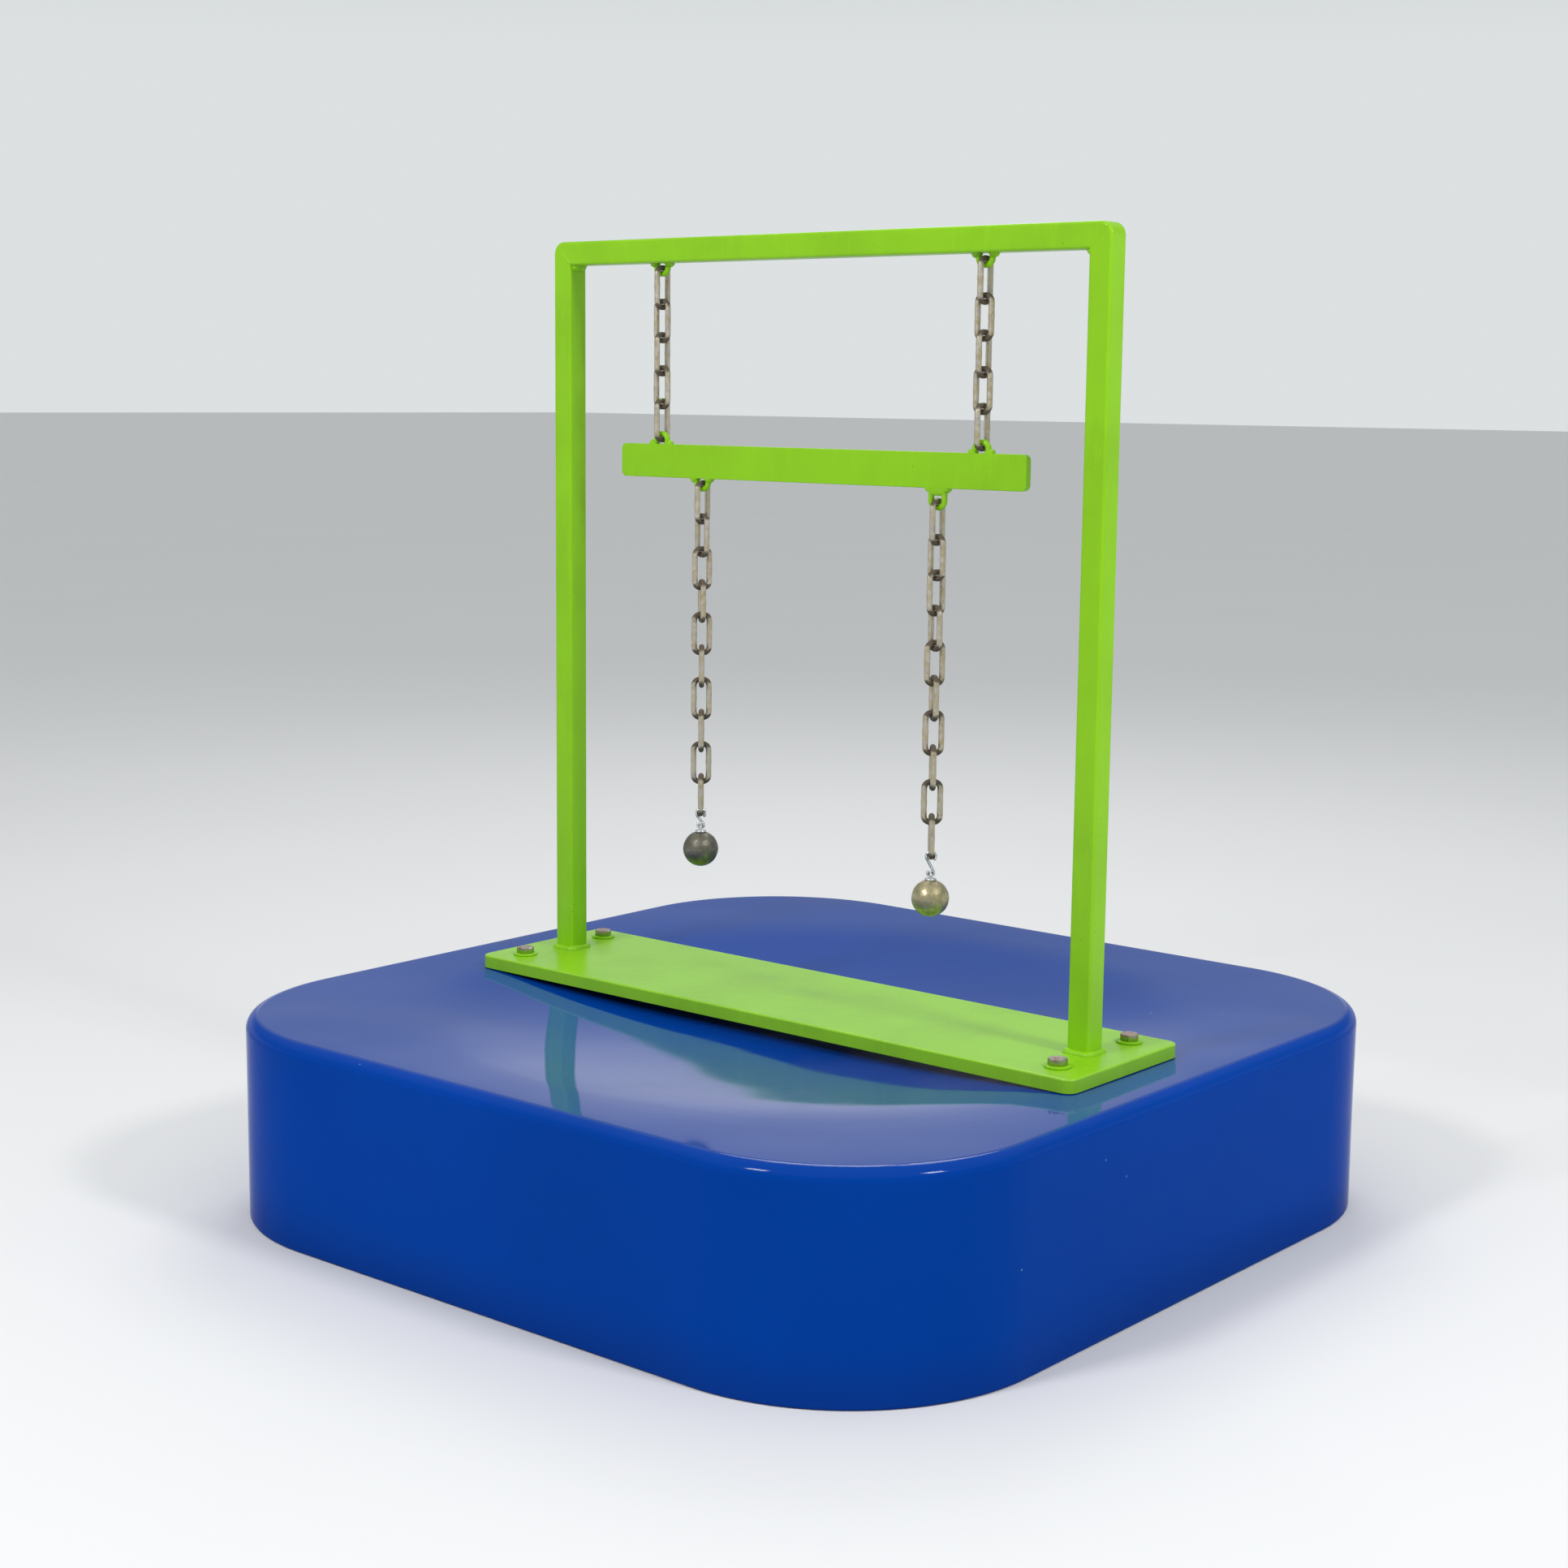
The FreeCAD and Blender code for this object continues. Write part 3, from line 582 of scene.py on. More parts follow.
def bent_bar(path, across, radius, sides, closed=False, rounded_ends=False):
    """Round bar along a path in one plane; across is square to that plane."""
    path = np.array(path, float)
    radii = np.broadcast_to(radius, len(path)).astype(float)
    if closed:
        travel = np.roll(path, -1, 0) - np.roll(path, 1, 0)
    else:
        travel = np.gradient(path, axis=0)
    travel /= np.linalg.norm(travel, axis=1)[:, None]
    if rounded_ends:
        turns = np.radians([75, 50, 25])
        first = [path[0] - travel[0] * radii[0] * math.sin(t) for t in turns]
        last = [path[-1] + travel[-1] * radii[-1] * math.sin(t) for t in turns[::-1]]
        tips = [radii[0] * math.cos(t) for t in turns]
        path = np.concatenate([first, path, last])
        travel = np.concatenate([[travel[0]] * 3, travel, [travel[-1]] * 3])
        radii = np.concatenate([tips, radii, tips[::-1]])
    across = np.array(across, float)
    outward = np.cross(travel, across)
    angles = np.linspace(0, 2 * math.pi, sides, endpoint=False)
    rings = [centre + size * (np.outer(np.cos(angles), out) + np.outer(np.sin(angles), across))
             for centre, size, out in zip(path, radii, outward)]
    return skin(rings, loop=closed)


def fillet_bead(inner, outward, reach, height, surface, up, steps=7):
    """Weld bead round something that stands on steel: inner is its outline there.

    Surface gives the height of the steel at each y."""
    inner, outward = np.array(inner), np.array(outward)
    reach, height = np.broadcast_to(reach, len(inner)), np.broadcast_to(height, len(inner))
    rows = [(-0.35, 1.0), *[(math.sin(t), math.cos(t)) for t in np.linspace(0, math.pi / 2, steps)],
            (1.0, -0.12), (-0.35, -0.12)]
    rings = []
    for out, rise in rows:
        flat = inner + outward * (reach * out)[:, None]
        level = np.array([surface(y) for _, y in flat]) + up * height * rise
        rings.append(np.column_stack([flat, level]))
    return skin(rings, loop=True)


def ripples(count, waves, depth, seed):
    """Uneven weld ripples, about 1, as many as there are points in the bead."""
    generator = random.Random(seed)
    phase = generator.uniform(0, math.tau)
    slow = [generator.uniform(-depth, depth) * 0.6 for _ in range(5)]
    values = []
    for index in range(count):
        turn = math.tau * index / count
        value = 1 + depth * (abs(math.sin(waves * turn / 2 + phase)) - 0.6)
        value += sum(share * math.sin((order + 1) * turn + order) for order, share in enumerate(slow))
        values.append(value)
    return np.array(values)


def put_together(surfaces):
    """Several surfaces as one list of points and faces."""
    points, faces, start = [], [], 0
    for some_points, some_faces in surfaces:
        points.append(some_points)
        faces += [tuple(corner + start for corner in face) for face in some_faces]
        start += len(some_points)
    return np.concatenate(points), faces


def lay(name, surfaces, material, slot, *nodes, marks=None, sharp=38.0):
    """Makes one piece that stands for CAD nodes and rides on their body."""
    points, faces = put_together(surfaces)
    mesh = bpy.data.meshes.new(name)
    mesh.from_pydata(points.tolist(), [], faces)
    for mark, values in (marks or {}).items():
        layer = mesh.attributes.new(mark, "FLOAT", "POINT")
        layer.data.foreach_set("value", np.array(values(points), np.float32))
    shape = bmesh.new()
    shape.from_mesh(mesh)
    bmesh.ops.remove_doubles(shape, verts=shape.verts, dist=1e-7)
    bmesh.ops.dissolve_degenerate(shape, dist=1e-7, edges=shape.edges)
    bmesh.ops.recalc_face_normals(shape, faces=shape.faces)
    shape.to_mesh(mesh)
    shape.free()
    mesh.polygons.foreach_set("use_smooth", [True] * len(mesh.polygons))
    mesh.set_sharp_from_angle(angle=math.radians(sharp))
    mesh.materials.append(material)
    piece = bpy.data.objects.new(name, mesh)
    bpy.context.scene.collection.objects.link(piece)
    normals = piece.modifiers.new("even_shading", "WEIGHTED_NORMAL")
    normals.keep_sharp = True
    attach(piece, body_of_node[nodes[0]])
    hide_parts(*nodes)
    return piece


def near(points, centre, inner, outer):
    """1 within the inner distance of a point, 0 beyond the outer one."""
    away = np.linalg.norm(points - np.array(centre), axis=1)
    return np.clip((outer - away) / (outer - inner), 0, 1)


# ---- the block ----------------------------------------------------------------------------------


def dish_fall(away, settings):
    """How far the dish lies below the rim, at a distance from its middle, with an eased rim."""
    run = settings.dish_radius - settings.dish_flat
    curve = (run ** 2 + settings.dish_depth ** 2) / (2 * settings.dish_depth)
    beyond = max(0.0, away - settings.dish_flat)
    followed = min(beyond, run * 1.3)  # the arc goes on a little past the rim
    drop = settings.dish_depth - (curve - math.sqrt(curve ** 2 - followed ** 2))
    if away <= settings.dish_flat:
        return drop
    ease = 3 * MM
    return 0.5 * (drop + math.sqrt(drop ** 2 + ease ** 2))


def moulded_block(settings):
    """Rings of the moulding: out over the dish, down the sides, and up inside."""
    half_x, half_y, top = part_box("base_shell")[1]
    centre = np.array([frame_middle.x, frame_middle.y])
    rim = settings.rim_radius

    def outline(inset):
        return rounded_outline(half_x - inset, half_y - inset, settings.corner_radius - inset, 26, 22)

    def level(flat, height):
        return np.column_stack([flat, np.broadcast_to(height, len(flat))])

    edge = outline(rim)
    directions = edge - centre
    reach = np.linalg.norm(directions, axis=1)
    directions /= reach[:, None]
    rings = []
    flat_reaches = (3 * MM, 30 * MM, 65 * MM, 100 * MM)
    dish_reaches = np.linspace(settings.dish_flat, settings.dish_radius, 26)
    for away in (*flat_reaches, *dish_reaches):
        rings.append(level(centre + directions * away, top - dish_fall(away, settings)))
    for share in (0.10, 0.25, 0.5, 0.8):
        away = settings.dish_radius + (reach - settings.dish_radius) * share
        falls = np.array([dish_fall(distance, settings) for distance in away])
        rings.append(level(centre + directions * away[:, None], top - falls * (1 - share)))
    for turn in np.radians(np.linspace(0, 90, 12)):
        rings.append(level(outline(rim * (1 - math.sin(turn))), top - rim * (1 - math.cos(turn))))
    side = outline(0.0)
    outward = side - outline(1 * MM)
    outward /= np.linalg.norm(outward, axis=1)[:, None]
    turns = np.linspace(0, math.tau, len(side), endpoint=False)
    foot = 3 * MM
    side_end = foot + 1 * MM
    for height in np.linspace(top - rim, side_end, 14)[1:]:
        wave = 0.35 * MM * math.sin(math.pi * (height - side_end) / (top - rim)) ** 2
        inset = wave * (0.5 + 0.5 * np.sin(3 * turns + 9 * height))
        rings.append(level(side - outward * inset[:, None], height))
    for turn in np.radians(np.linspace(20, 90, 5)):
        rings.append(level(outline(foot * (1 - math.cos(turn))), foot * (1 - math.sin(turn))))
    wall = settings.wall
    roof = top - 24 * MM
    bevel = 8 * MM
    inside = outline(wall + bevel)
    rings.append(level(outline(wall - 1 * MM), 0.0))
    rings.append(level(outline(wall), 1 * MM))
    rings.append(level(outline(wall), roof - bevel))
    rings.append(level(inside, roof))
    rings.append(level(centre + (inside - centre) * 0.4, roof))
    return skin(rings)


class TRAPEZE_OT_block(bpy.types.Operator):
    """Builds the moulded block with its dished top."""

    bl_idname = "trapeze.block"
    bl_label = "Moulded block"

    def execute(self, context):
        settings = context.scene.trapeze_block
        lay("moulded_block", [moulded_block(settings)], blue_gelcoat(), "blue_gelcoat",
            "base_shell", sharp=50.0)
        return {"FINISHED"}


class TRAPEZE_OT_inside(bpy.types.Operator):
    """Finishes what closes and stiffens the block: board, cleats, strips, nuts and screws."""

    bl_idname = "trapeze.inside"
    bl_label = "Inside of the block"

    def execute(self, context):
        finishes = {
            "base_board": plywood(), "board_cleats": plywood(), "board_screws": zinc_steel(),
            "backing_plate_left": zinc_steel(), "backing_plate_right": zinc_steel(),
            "base_nuts": zinc_steel(), "base_nut_washers": zinc_steel(),
        }
        for node, material in finishes.items():
            piece = frame["nodes"][node]
            if not piece.data.materials:
                piece.data.materials.append(material)
            for place in piece.material_slots:
                place.material = material
        return {"FINISHED"}


# ---- plate, bolts and frame ---------------------------------------------------------------------


def plate_surface(settings):
    """The flat bar under the legs."""
    low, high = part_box("base_plate")
    half = (high - low) / 2
    edge = settings.plate_edge
    lip = 0.6 * MM
    levels = [(lip, low.z), (lip * 0.3, low.z + lip * 0.3), (0.0, low.z + lip)]
    levels += [(edge * (1 - math.sin(t)), high.z - edge * (1 - math.cos(t)))
               for t in np.radians(np.linspace(90, 0, 7))]
    rings = []
    for inset, height in levels:
        flat = rounded_outline(half.x - inset, half.y - inset, settings.plate_corner - inset, 10, 2)
        flat = flat + np.array([frame_middle.x, frame_middle.y])
        rings.append(np.column_stack([flat, np.full(len(flat), height)]))
    return skin(rings)


def bolt_middles():
    """Where the four bolts stand: their washers' box reaches one radius past each middle."""
    low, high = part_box("base_bolt_washers")
    across = (low.x + WASHER_RADIUS, high.x - WASHER_RADIUS)
    deep = (low.y + WASHER_RADIUS, high.y - WASHER_RADIUS)
    return [(x, y) for x in across for y in deep]


def hexagon_head(centre, turn, bottom, top, seed):
    """Hexagon bolt head with a chamfered, slightly battered top, and its shank below."""
    steps = 96
    flats = BOLT_FLATS
    angles = np.linspace(0, math.tau, steps, endpoint=False)
    folded = (angles + math.pi / 6) % (math.pi / 3) - math.pi / 6
    hexagon = np.minimum(flats / 2 / np.cos(folded), flats / math.sqrt(3) * 0.985)
    chamfer_start = flats / 2 * 0.93
    depth = (hexagon - chamfer_start) * 0.55
    lift = np.array([noise.noise(Vector((math.cos(a) * 3, math.sin(a) * 3, seed))) for a in angles])

    def ring(radius, height):
        radius = np.broadcast_to(radius, steps)
        return np.column_stack([centre[0] + radius * np.cos(angles + turn),
                                centre[1] + radius * np.sin(angles + turn),
                                np.broadcast_to(height, steps)])

    rings = [ring(2 * MM, top - 0.35 * MM), ring(chamfer_start * 0.70, top - 0.30 * MM),
             ring(chamfer_start * 0.80, top - 0.02 * MM),
             ring(chamfer_start, top - 0.05 * MM + np.minimum(lift, 0) * 0.3 * MM)]
    for share in (0.35, 0.7, 1.0):
        rings.append(ring(chamfer_start + (hexagon - chamfer_start) * share,
                          top - 0.05 * MM - depth * share ** 1.2))
    rings.append(ring(hexagon, bottom + 0.5 * MM))
    rings.append(ring(hexagon - 0.4 * MM, bottom))
    rings.append(ring(BOLT_RADIUS, bottom))
    shank_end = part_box("base_bolts")[0].z
    plain_end = bottom - BOLT_PLAIN_LENGTH
    rings.append(ring(BOLT_RADIUS, plain_end))
    threads = int((plain_end - shank_end) / BOLT_PITCH) - 1
    for thread in range(threads):
        height = plain_end - thread * BOLT_PITCH
        rings.append(ring(4.95 * MM, height - 0.3 * MM))
        rings.append(ring(4.25 * MM, height - 0.9 * MM))
    rings.append(ring(4.6 * MM, shank_end + 0.7 * MM))
    rings.append(ring(4.0 * MM, shank_end))
    return skin(rings)


class TRAPEZE_OT_plate(bpy.types.Operator):
    """Builds the base plate."""

    bl_idname = "trapeze.plate"
    bl_label = "Base plate"

    def execute(self, context):
        settings = context.scene.trapeze_paint
        lay("foot_plate", [plate_surface(settings)], green_paint("lime_plate_paint", 1.50),
            "green_paint", "base_plate")
        return {"FINISHED"}


class TRAPEZE_OT_bolts(bpy.types.Operator):
    """Builds the four bolts and the painted washers under their heads."""

    bl_idname = "trapeze.bolts"
    bl_label = "Bolts and washers"

    def execute(self, context):
        low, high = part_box("base_bolt_washers")
        head_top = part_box("base_bolts")[1].z
        turns = random.Random(11)
        heads, washers = [], []
        for seed, (x, y) in enumerate(bolt_middles()):
            turn = turns.uniform(0, math.pi / 3)
            heads.append(hexagon_head((x, y), turn, high.z, head_top, seed))
            outer = WASHER_RADIUS
            profile = [(WASHER_BORE, low.z + 0.2 * MM), (outer - 0.6 * MM, low.z),
                       (outer, low.z + 0.6 * MM), (outer, high.z - 0.9 * MM),
                       (outer - 0.3 * MM, high.z - 0.3 * MM), (outer - 1.0 * MM, high.z),
                       (WASHER_BORE, high.z)]
            washers.append(turned(profile, x, y, 64, loop=True))

        def on_top(points):
            return np.where(points[:, 2] > head_top - 1.4 * MM, 0.0, 1.0)

        def by_heads(points):
            rub = np.zeros(len(points))
            for x, y in bolt_middles():
                away = np.hypot(points[:, 0] - x, points[:, 1] - y)
                rub = np.maximum(rub, np.clip((10.5 * MM - away) / (3 * MM), 0, 1) * 0.7)
            return rub

        lay("plate_bolts", heads, worn_bolt(), "worn_bolt_steel", "base_bolts",
            marks={"rub": on_top}, sharp=28.0)
        lay("plate_washers", washers, green_paint(), "green_paint", "base_bolt_washers",
            marks={"rub": by_heads})
        return {"FINISHED"}


def tube_section(size, edge):
    """Square tube outline as (distance from the inner face, distance from the middle) pairs."""
    return rounded_outline(size / 2, size / 2, edge, 7, 12) + np.array([size / 2, 0.0])


def corner_ring(section, side, turn, inner, corner_radius, size):
    """The tube's outline part way round an outer corner; the inner fibres only mitre."""
    bend = np.maximum(0.0, corner_radius - (size - section[:, 0]))
    straight = section[:, 0] - bend
    out = straight + bend * math.cos(turn)
    rise = straight + bend * math.sin(turn)
    return np.column_stack([inner[0] + side * out, inner[1] + section[:, 1], inner[2] + rise])


def leg_box(side):
    """Lowest and highest corners of the left or the right leg."""
    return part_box("left_leg" if side < 0 else "right_leg")


def inner_corner(side):
    """Where the inner faces of a leg and the top bar meet."""
    low, high = leg_box(side)
    inside_x = high.x if side < 0 else low.x
    inside_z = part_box("top_bar")[0].z
    return Vector((inside_x, (low.y + high.y) / 2, inside_z))


def leg_surface(side, settings):
    """One leg, up to the mitre."""
    low, high = leg_box(side)
    size = high.y - low.y
    section = tube_section(size, settings.tube_edge)
    inner = inner_corner(side)
    rings = []
    for height in np.linspace(low.z, inner.z - CORNER_RUN, 16):
        rings.append(np.column_stack([inner.x + side * section[:, 0], inner.y + section[:, 1],
                                      np.full(len(section), height)]))
    for turn in np.radians(np.linspace(0, 45, 7)):
        rings.append(corner_ring(section, side, turn, inner, settings.frame_corner, size))
    return skin(rings)


def top_bar_surface(settings):
    """The top bar, from mitre to mitre."""
    size = extent("left_leg").y
    section = tube_section(size, settings.tube_edge)
    left, right = inner_corner(-1), inner_corner(1)
    rings = []
    for turn in np.radians(np.linspace(45, 90, 7)):
        rings.append(corner_ring(section, -1, turn, left, settings.frame_corner, size))
    for along in np.linspace(left.x + CORNER_RUN, right.x - CORNER_RUN, 14):
        rings.append(np.column_stack([np.full(len(section), along), left.y + section[:, 1],
                                      left.z + section[:, 0]]))
    for turn in np.radians(np.linspace(90, 45, 7)):
        rings.append(corner_ring(section, 1, turn, right, settings.frame_corner, size))
    return skin(rings)


def mitre_ridge(side, face, size, seed):
    """Low ground weld along a mitre, on the front or the back of the frame."""
    inner = inner_corner(side)
    slant = 0.7071  # a mitre runs at 45 degrees
    generator = random.Random(seed)
    rings = []
    for share in np.linspace(0.06, 0.94, 15):
        reach = share * (size - 3.8 * MM)
        swell = math.sin(math.pi * share) ** 0.35 * (0.85 + 0.3 * generator.random())
        ring = []
        for turn in np.linspace(0, math.tau, 12, endpoint=False):
            aside = 1.9 * MM * swell * math.cos(turn)
            out = 0.32 * MM * swell * math.sin(turn)
            ring.append((inner.x + side * (reach - aside * slant),
                         inner.y + face * (size / 2 + out), inner.z + reach + aside * slant))
        rings.append(ring)
    return skin(rings)


def foot_bead(side, settings):
    """Bead round the foot of a leg."""
    low, high = leg_box(side)
    centre = np.array([(low.x + high.x) / 2, (low.y + high.y) / 2])
    half = (high.y - low.y) / 2
    inner = rounded_outline(half, half, settings.tube_edge, 10, 34)
    # one metre wider all round, only to find the outward directions
    wider = rounded_outline(half + 1, half + 1, settings.tube_edge + 1, 10, 34)
    outward = wider - inner
    outward /= np.linalg.norm(outward, axis=1)[:, None]
    size = settings.foot_weld * 0.88 * ripples(len(inner), 36, 0.10, 5 + side)
    return fillet_bead(inner + centre, outward, size, size, lambda y: plate_top, 1)


def corner_bead(side, settings):
    """Bead in the frame's inner corner, with soft ends."""
    inner = inner_corner(side)
    half = (extent("left_leg").y - 2 * settings.tube_edge) / 2
    generator = random.Random(31 + side)
    rings = []
    for share in np.linspace(-1, 1, 33):
        size = settings.corner_weld * max(0.12, 1 - abs(share) ** 5) ** 0.5
        size *= 0.86 + 0.10 * abs(math.sin(share * 13)) + 0.04 * generator.random()
        ring = [(inner.x + side * 0.4 * MM, inner.y + half * share, inner.z + 0.4 * MM)]
        for turn in np.radians(np.linspace(0, 90, 9)):
            out, down = size * math.cos(turn) ** 1.3, size * math.sin(turn) ** 1.3
            ring.append((inner.x - side * out, inner.y + half * share, inner.z - down))
        rings.append(ring)
    return skin(rings)


class TRAPEZE_OT_frame(bpy.types.Operator):
    """Builds the two legs and the top bar."""

    bl_idname = "trapeze.frame"
    bl_label = "Legs and top bar"

    def execute(self, context):
        settings = context.scene.trapeze_paint
        for name, side in SIDES:
            lay(f"{name}_leg_tube", [leg_surface(side, settings)], green_paint(), "green_paint",
                f"{name}_leg")
        lay("top_tube", [top_bar_surface(settings)], green_paint(), "green_paint", "top_bar")
        return {"FINISHED"}


class TRAPEZE_OT_welds(bpy.types.Operator):
    """Builds the beads at the feet, in the inner corners and along the mitres."""

    bl_idname = "trapeze.welds"
    bl_label = "Weld beads"

    def execute(self, context):
        settings = context.scene.trapeze_paint
        size = extent("left_leg").y
        beads = []
        for _, side in SIDES:
            beads.append(foot_bead(side, settings))
            beads.append(corner_bead(side, settings))
            beads += [mitre_ridge(side, face, size, 40 + side + 3 * face) for face in (-1, 1)]
        lay("frame_beads", beads, green_paint(), "green_paint", "frame_welds", sharp=60.0)
        return {"FINISHED"}


# ---- eyes, trapeze, chains, hooks and balls -----------------------------------------------------


def staple_path(centre, along, half_width, bend, reach, up):
    """A bow at the centre and two legs that rise or fall from it by reach."""
    points = [(-half_width, reach * up)]
    for step in np.linspace(reach, bend, 7)[1:]:
        points.append((-half_width, step * up))
    turns = np.radians(np.linspace(180, 270, 9))[1:]
    points += [(-half_width + bend + bend * math.cos(t), up * (bend + bend * math.sin(t)))
               for t in turns]
    points += [(-x, z) for x, z in reversed(points)]
    middle_point = np.array(centre)
    return [middle_point + np.array(along) * x + np.array((0, 0, z)) for x, z in points]


def ring_round(centre, radius_x, radius_y, count=48):
    """Points and outward directions round an upright leg."""
    angles = np.linspace(0, math.tau, count, endpoint=False)
    outward = np.column_stack([np.cos(angles), np.sin(angles)])
    return np.array(centre) + outward * np.array([radius_x, radius_y]), outward


def within(reach, inner, outward, middle_y, room):
    """A bead's reach, kept on steel that goes only so far to each side."""
    spare = room - 0.1 * MM - np.abs(inner[:, 1] - middle_y)
    return np.minimum(reach, spare / np.maximum(np.abs(outward[:, 1]), 0.001))


def eye_surfaces(node, up, surface, settings, lump=0.0, seed=0, room=1.0):
    """A bent wire eye in the XZ plane with a bead round each leg; lump fills it near its root.

    Room is how far the steel it stands on goes to each side of its plane."""
    low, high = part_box(node)
    radius = settings.wire / 2
    half_width = (high.x - low.x) / 2 - radius
    centre = Vector(((low.x + high.x) / 2, (low.y + high.y) / 2,
                     low.z + radius if up > 0 else high.z - radius))
    root = surface(centre.y)
    reach = abs(root - centre.z) + 0.8 * MM
    path = staple_path(centre, (1, 0, 0), half_width, settings.bend, reach, up)
    surfaces = [bent_bar(path, (0, 1, 0), radius, sides=settings.sides)]
    for side in (-1, 1):
        inner, outward = ring_round((centre.x + side * half_width, centre.y), radius * 0.9,
                                    radius * 0.9)
        away = outward[:, 0] * side
        rough = ripples(len(inner), 16, 0.12, seed + side)
        reach_out = (2.3 + 2.3 * np.clip(away, 0, 1) - 1.5 * np.clip(-away, 0, 1)) * MM * rough
        height = (2.6 + 1.6 * np.clip(away, 0, 1) - 1.0 * np.clip(-away, 0, 1)) * MM * rough
        reach_out = within(reach_out, inner, outward, centre.y, room)
        surfaces.append(fillet_bead(inner, outward, reach_out, height, surface, -up))
    if lump:
        inner, outward = ring_round((centre.x, centre.y), 3 * MM, 1.2 * MM, 64)
        rough = ripples(len(inner), 14, 0.09, seed + 9)
        sideways = np.abs(outward[:, 0])
        reach_out = within((4.6 + 3.6 * sideways) * MM * rough, inner, outward, centre.y, room)
        height = lump * (0.94 + 0.06 * rough)
        surfaces.append(fillet_bead(inner, outward, reach_out, height, surface, -up, 9))
        root_middle = np.array((centre.x, centre.y))
        crown = root_middle + (inner - root_middle) * 0.3
        surfaces.append(skin([
            np.column_stack([inner, np.full(len(inner), root - up * lump * 0.97)]),
            np.column_stack([crown, np.full(len(inner), root - up * lump * 1.02)])]))
    bow = centre + Vector((0, 0, up * radius))
    return surfaces, bow


def lay_eye(name, node, up, surface, settings, lump=0.0, seed=0, room=1.0):
    """Makes one painted eye, rubbed bare inside its bow."""
    surfaces, bow = eye_surfaces(node, up, surface, settings, lump, seed, room)

    def rubbed(points):
        return near(points, bow, 1.5 * MM, 5.5 * MM) * 0.85

    lay(name, surfaces, green_paint(), "green_paint", node, marks={"rub": rubbed}, sharp=60.0)


class TRAPEZE_OT_top_eyes(bpy.types.Operator):
    """Builds the two eyes welded under the top bar."""

    bl_idname = "trapeze.top_eyes"
    bl_label = "Top eyes"

    def execute(self, context):
        settings = context.scene.trapeze_chain
        bar_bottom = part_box("top_bar")[0].z
        for name, side in SIDES:
            lay_eye(f"top_{name}_weld_eye", f"top_{name}_eye", 1, lambda y: bar_bottom,
                    settings, seed=50 + side)
        return {"FINISHED"}


def trapeze_surface(settings):
    """The flat bar on edge, with rounded corners and eased edges."""
    low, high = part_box("trapeze_bar")
    half, centre = (high - low) / 2, (high + low) / 2
    edge = settings.bar_edge
    levels = [(edge + 1 * MM, -half.y)]
    levels += [(edge * (1 - math.sin(t)), -half.y + edge * (1 - math.cos(t)))
               for t in np.radians(np.linspace(0, 90, 6))]
    levels += [(inset, -y) for inset, y in reversed(levels)]
    rings = []
    for inset, y in levels:
        flat = rounded_outline(half.x - inset, half.z - inset, settings.bar_corner - inset, 10, 24)
        rings.append(np.column_stack([flat[:, 0] + centre.x, np.full(len(flat), centre.y + y),
                                      flat[:, 1] + centre.z]))
    return skin(rings)


class TRAPEZE_OT_bar(bpy.types.Operator):
    """Builds the flat bar that hangs from the upper chains."""

    bl_idname = "trapeze.bar"
    bl_label = "Trapeze bar"

    def execute(self, context):
        settings = context.scene.trapeze_paint
        lay("hanging_flat_bar", [trapeze_surface(settings)], green_paint(), "green_paint",
            "trapeze_bar")
        return {"FINISHED"}


class TRAPEZE_OT_bar_eyes(bpy.types.Operator):
    """Builds the four eyes welded to the trapeze."""

    bl_idname = "trapeze.bar_eyes"
    bl_label = "Trapeze eyes"

    def execute(self, context):
        settings = context.scene.trapeze_chain
        edge = context.scene.trapeze_paint.bar_edge
        low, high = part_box("trapeze_bar")
        centre, half = (low + high) / 2, (high - low) / 2

        def eased(y):
            over = min(edge, max(0.0, abs(y - centre.y) - half.y + edge))
            return edge - math.sqrt(edge ** 2 - over ** 2)

        def upper(y):
            return high.z - eased(y)

        def lower(y):
            return low.z + eased(y)

        for name, side in SIDES:
            lay_eye(f"bar_top_{name}_eye", f"trapeze_top_{name}_eye", -1, upper, settings,
                    seed=60 + side, room=half.y)
            # the right eye is the longer one, and weld metal fills it near its root
            lump = 7.2 * MM if side > 0 else 0.0
            lay_eye(f"bar_bottom_{name}_eye", f"trapeze_bottom_{name}_eye", 1, lower, settings,
                    lump, seed=70 + side, room=half.y)
        return {"FINISHED"}


def link_path(centre, along, half_width, half_height, bend):
    """The middle line of a link's wire, with the places of its points on it."""
    flat = rounded_outline(half_width, half_height, bend, 9, 9)
    return [np.array(centre) + np.array(along) * x + np.array((0, 0, z)) for x, z in flat], flat


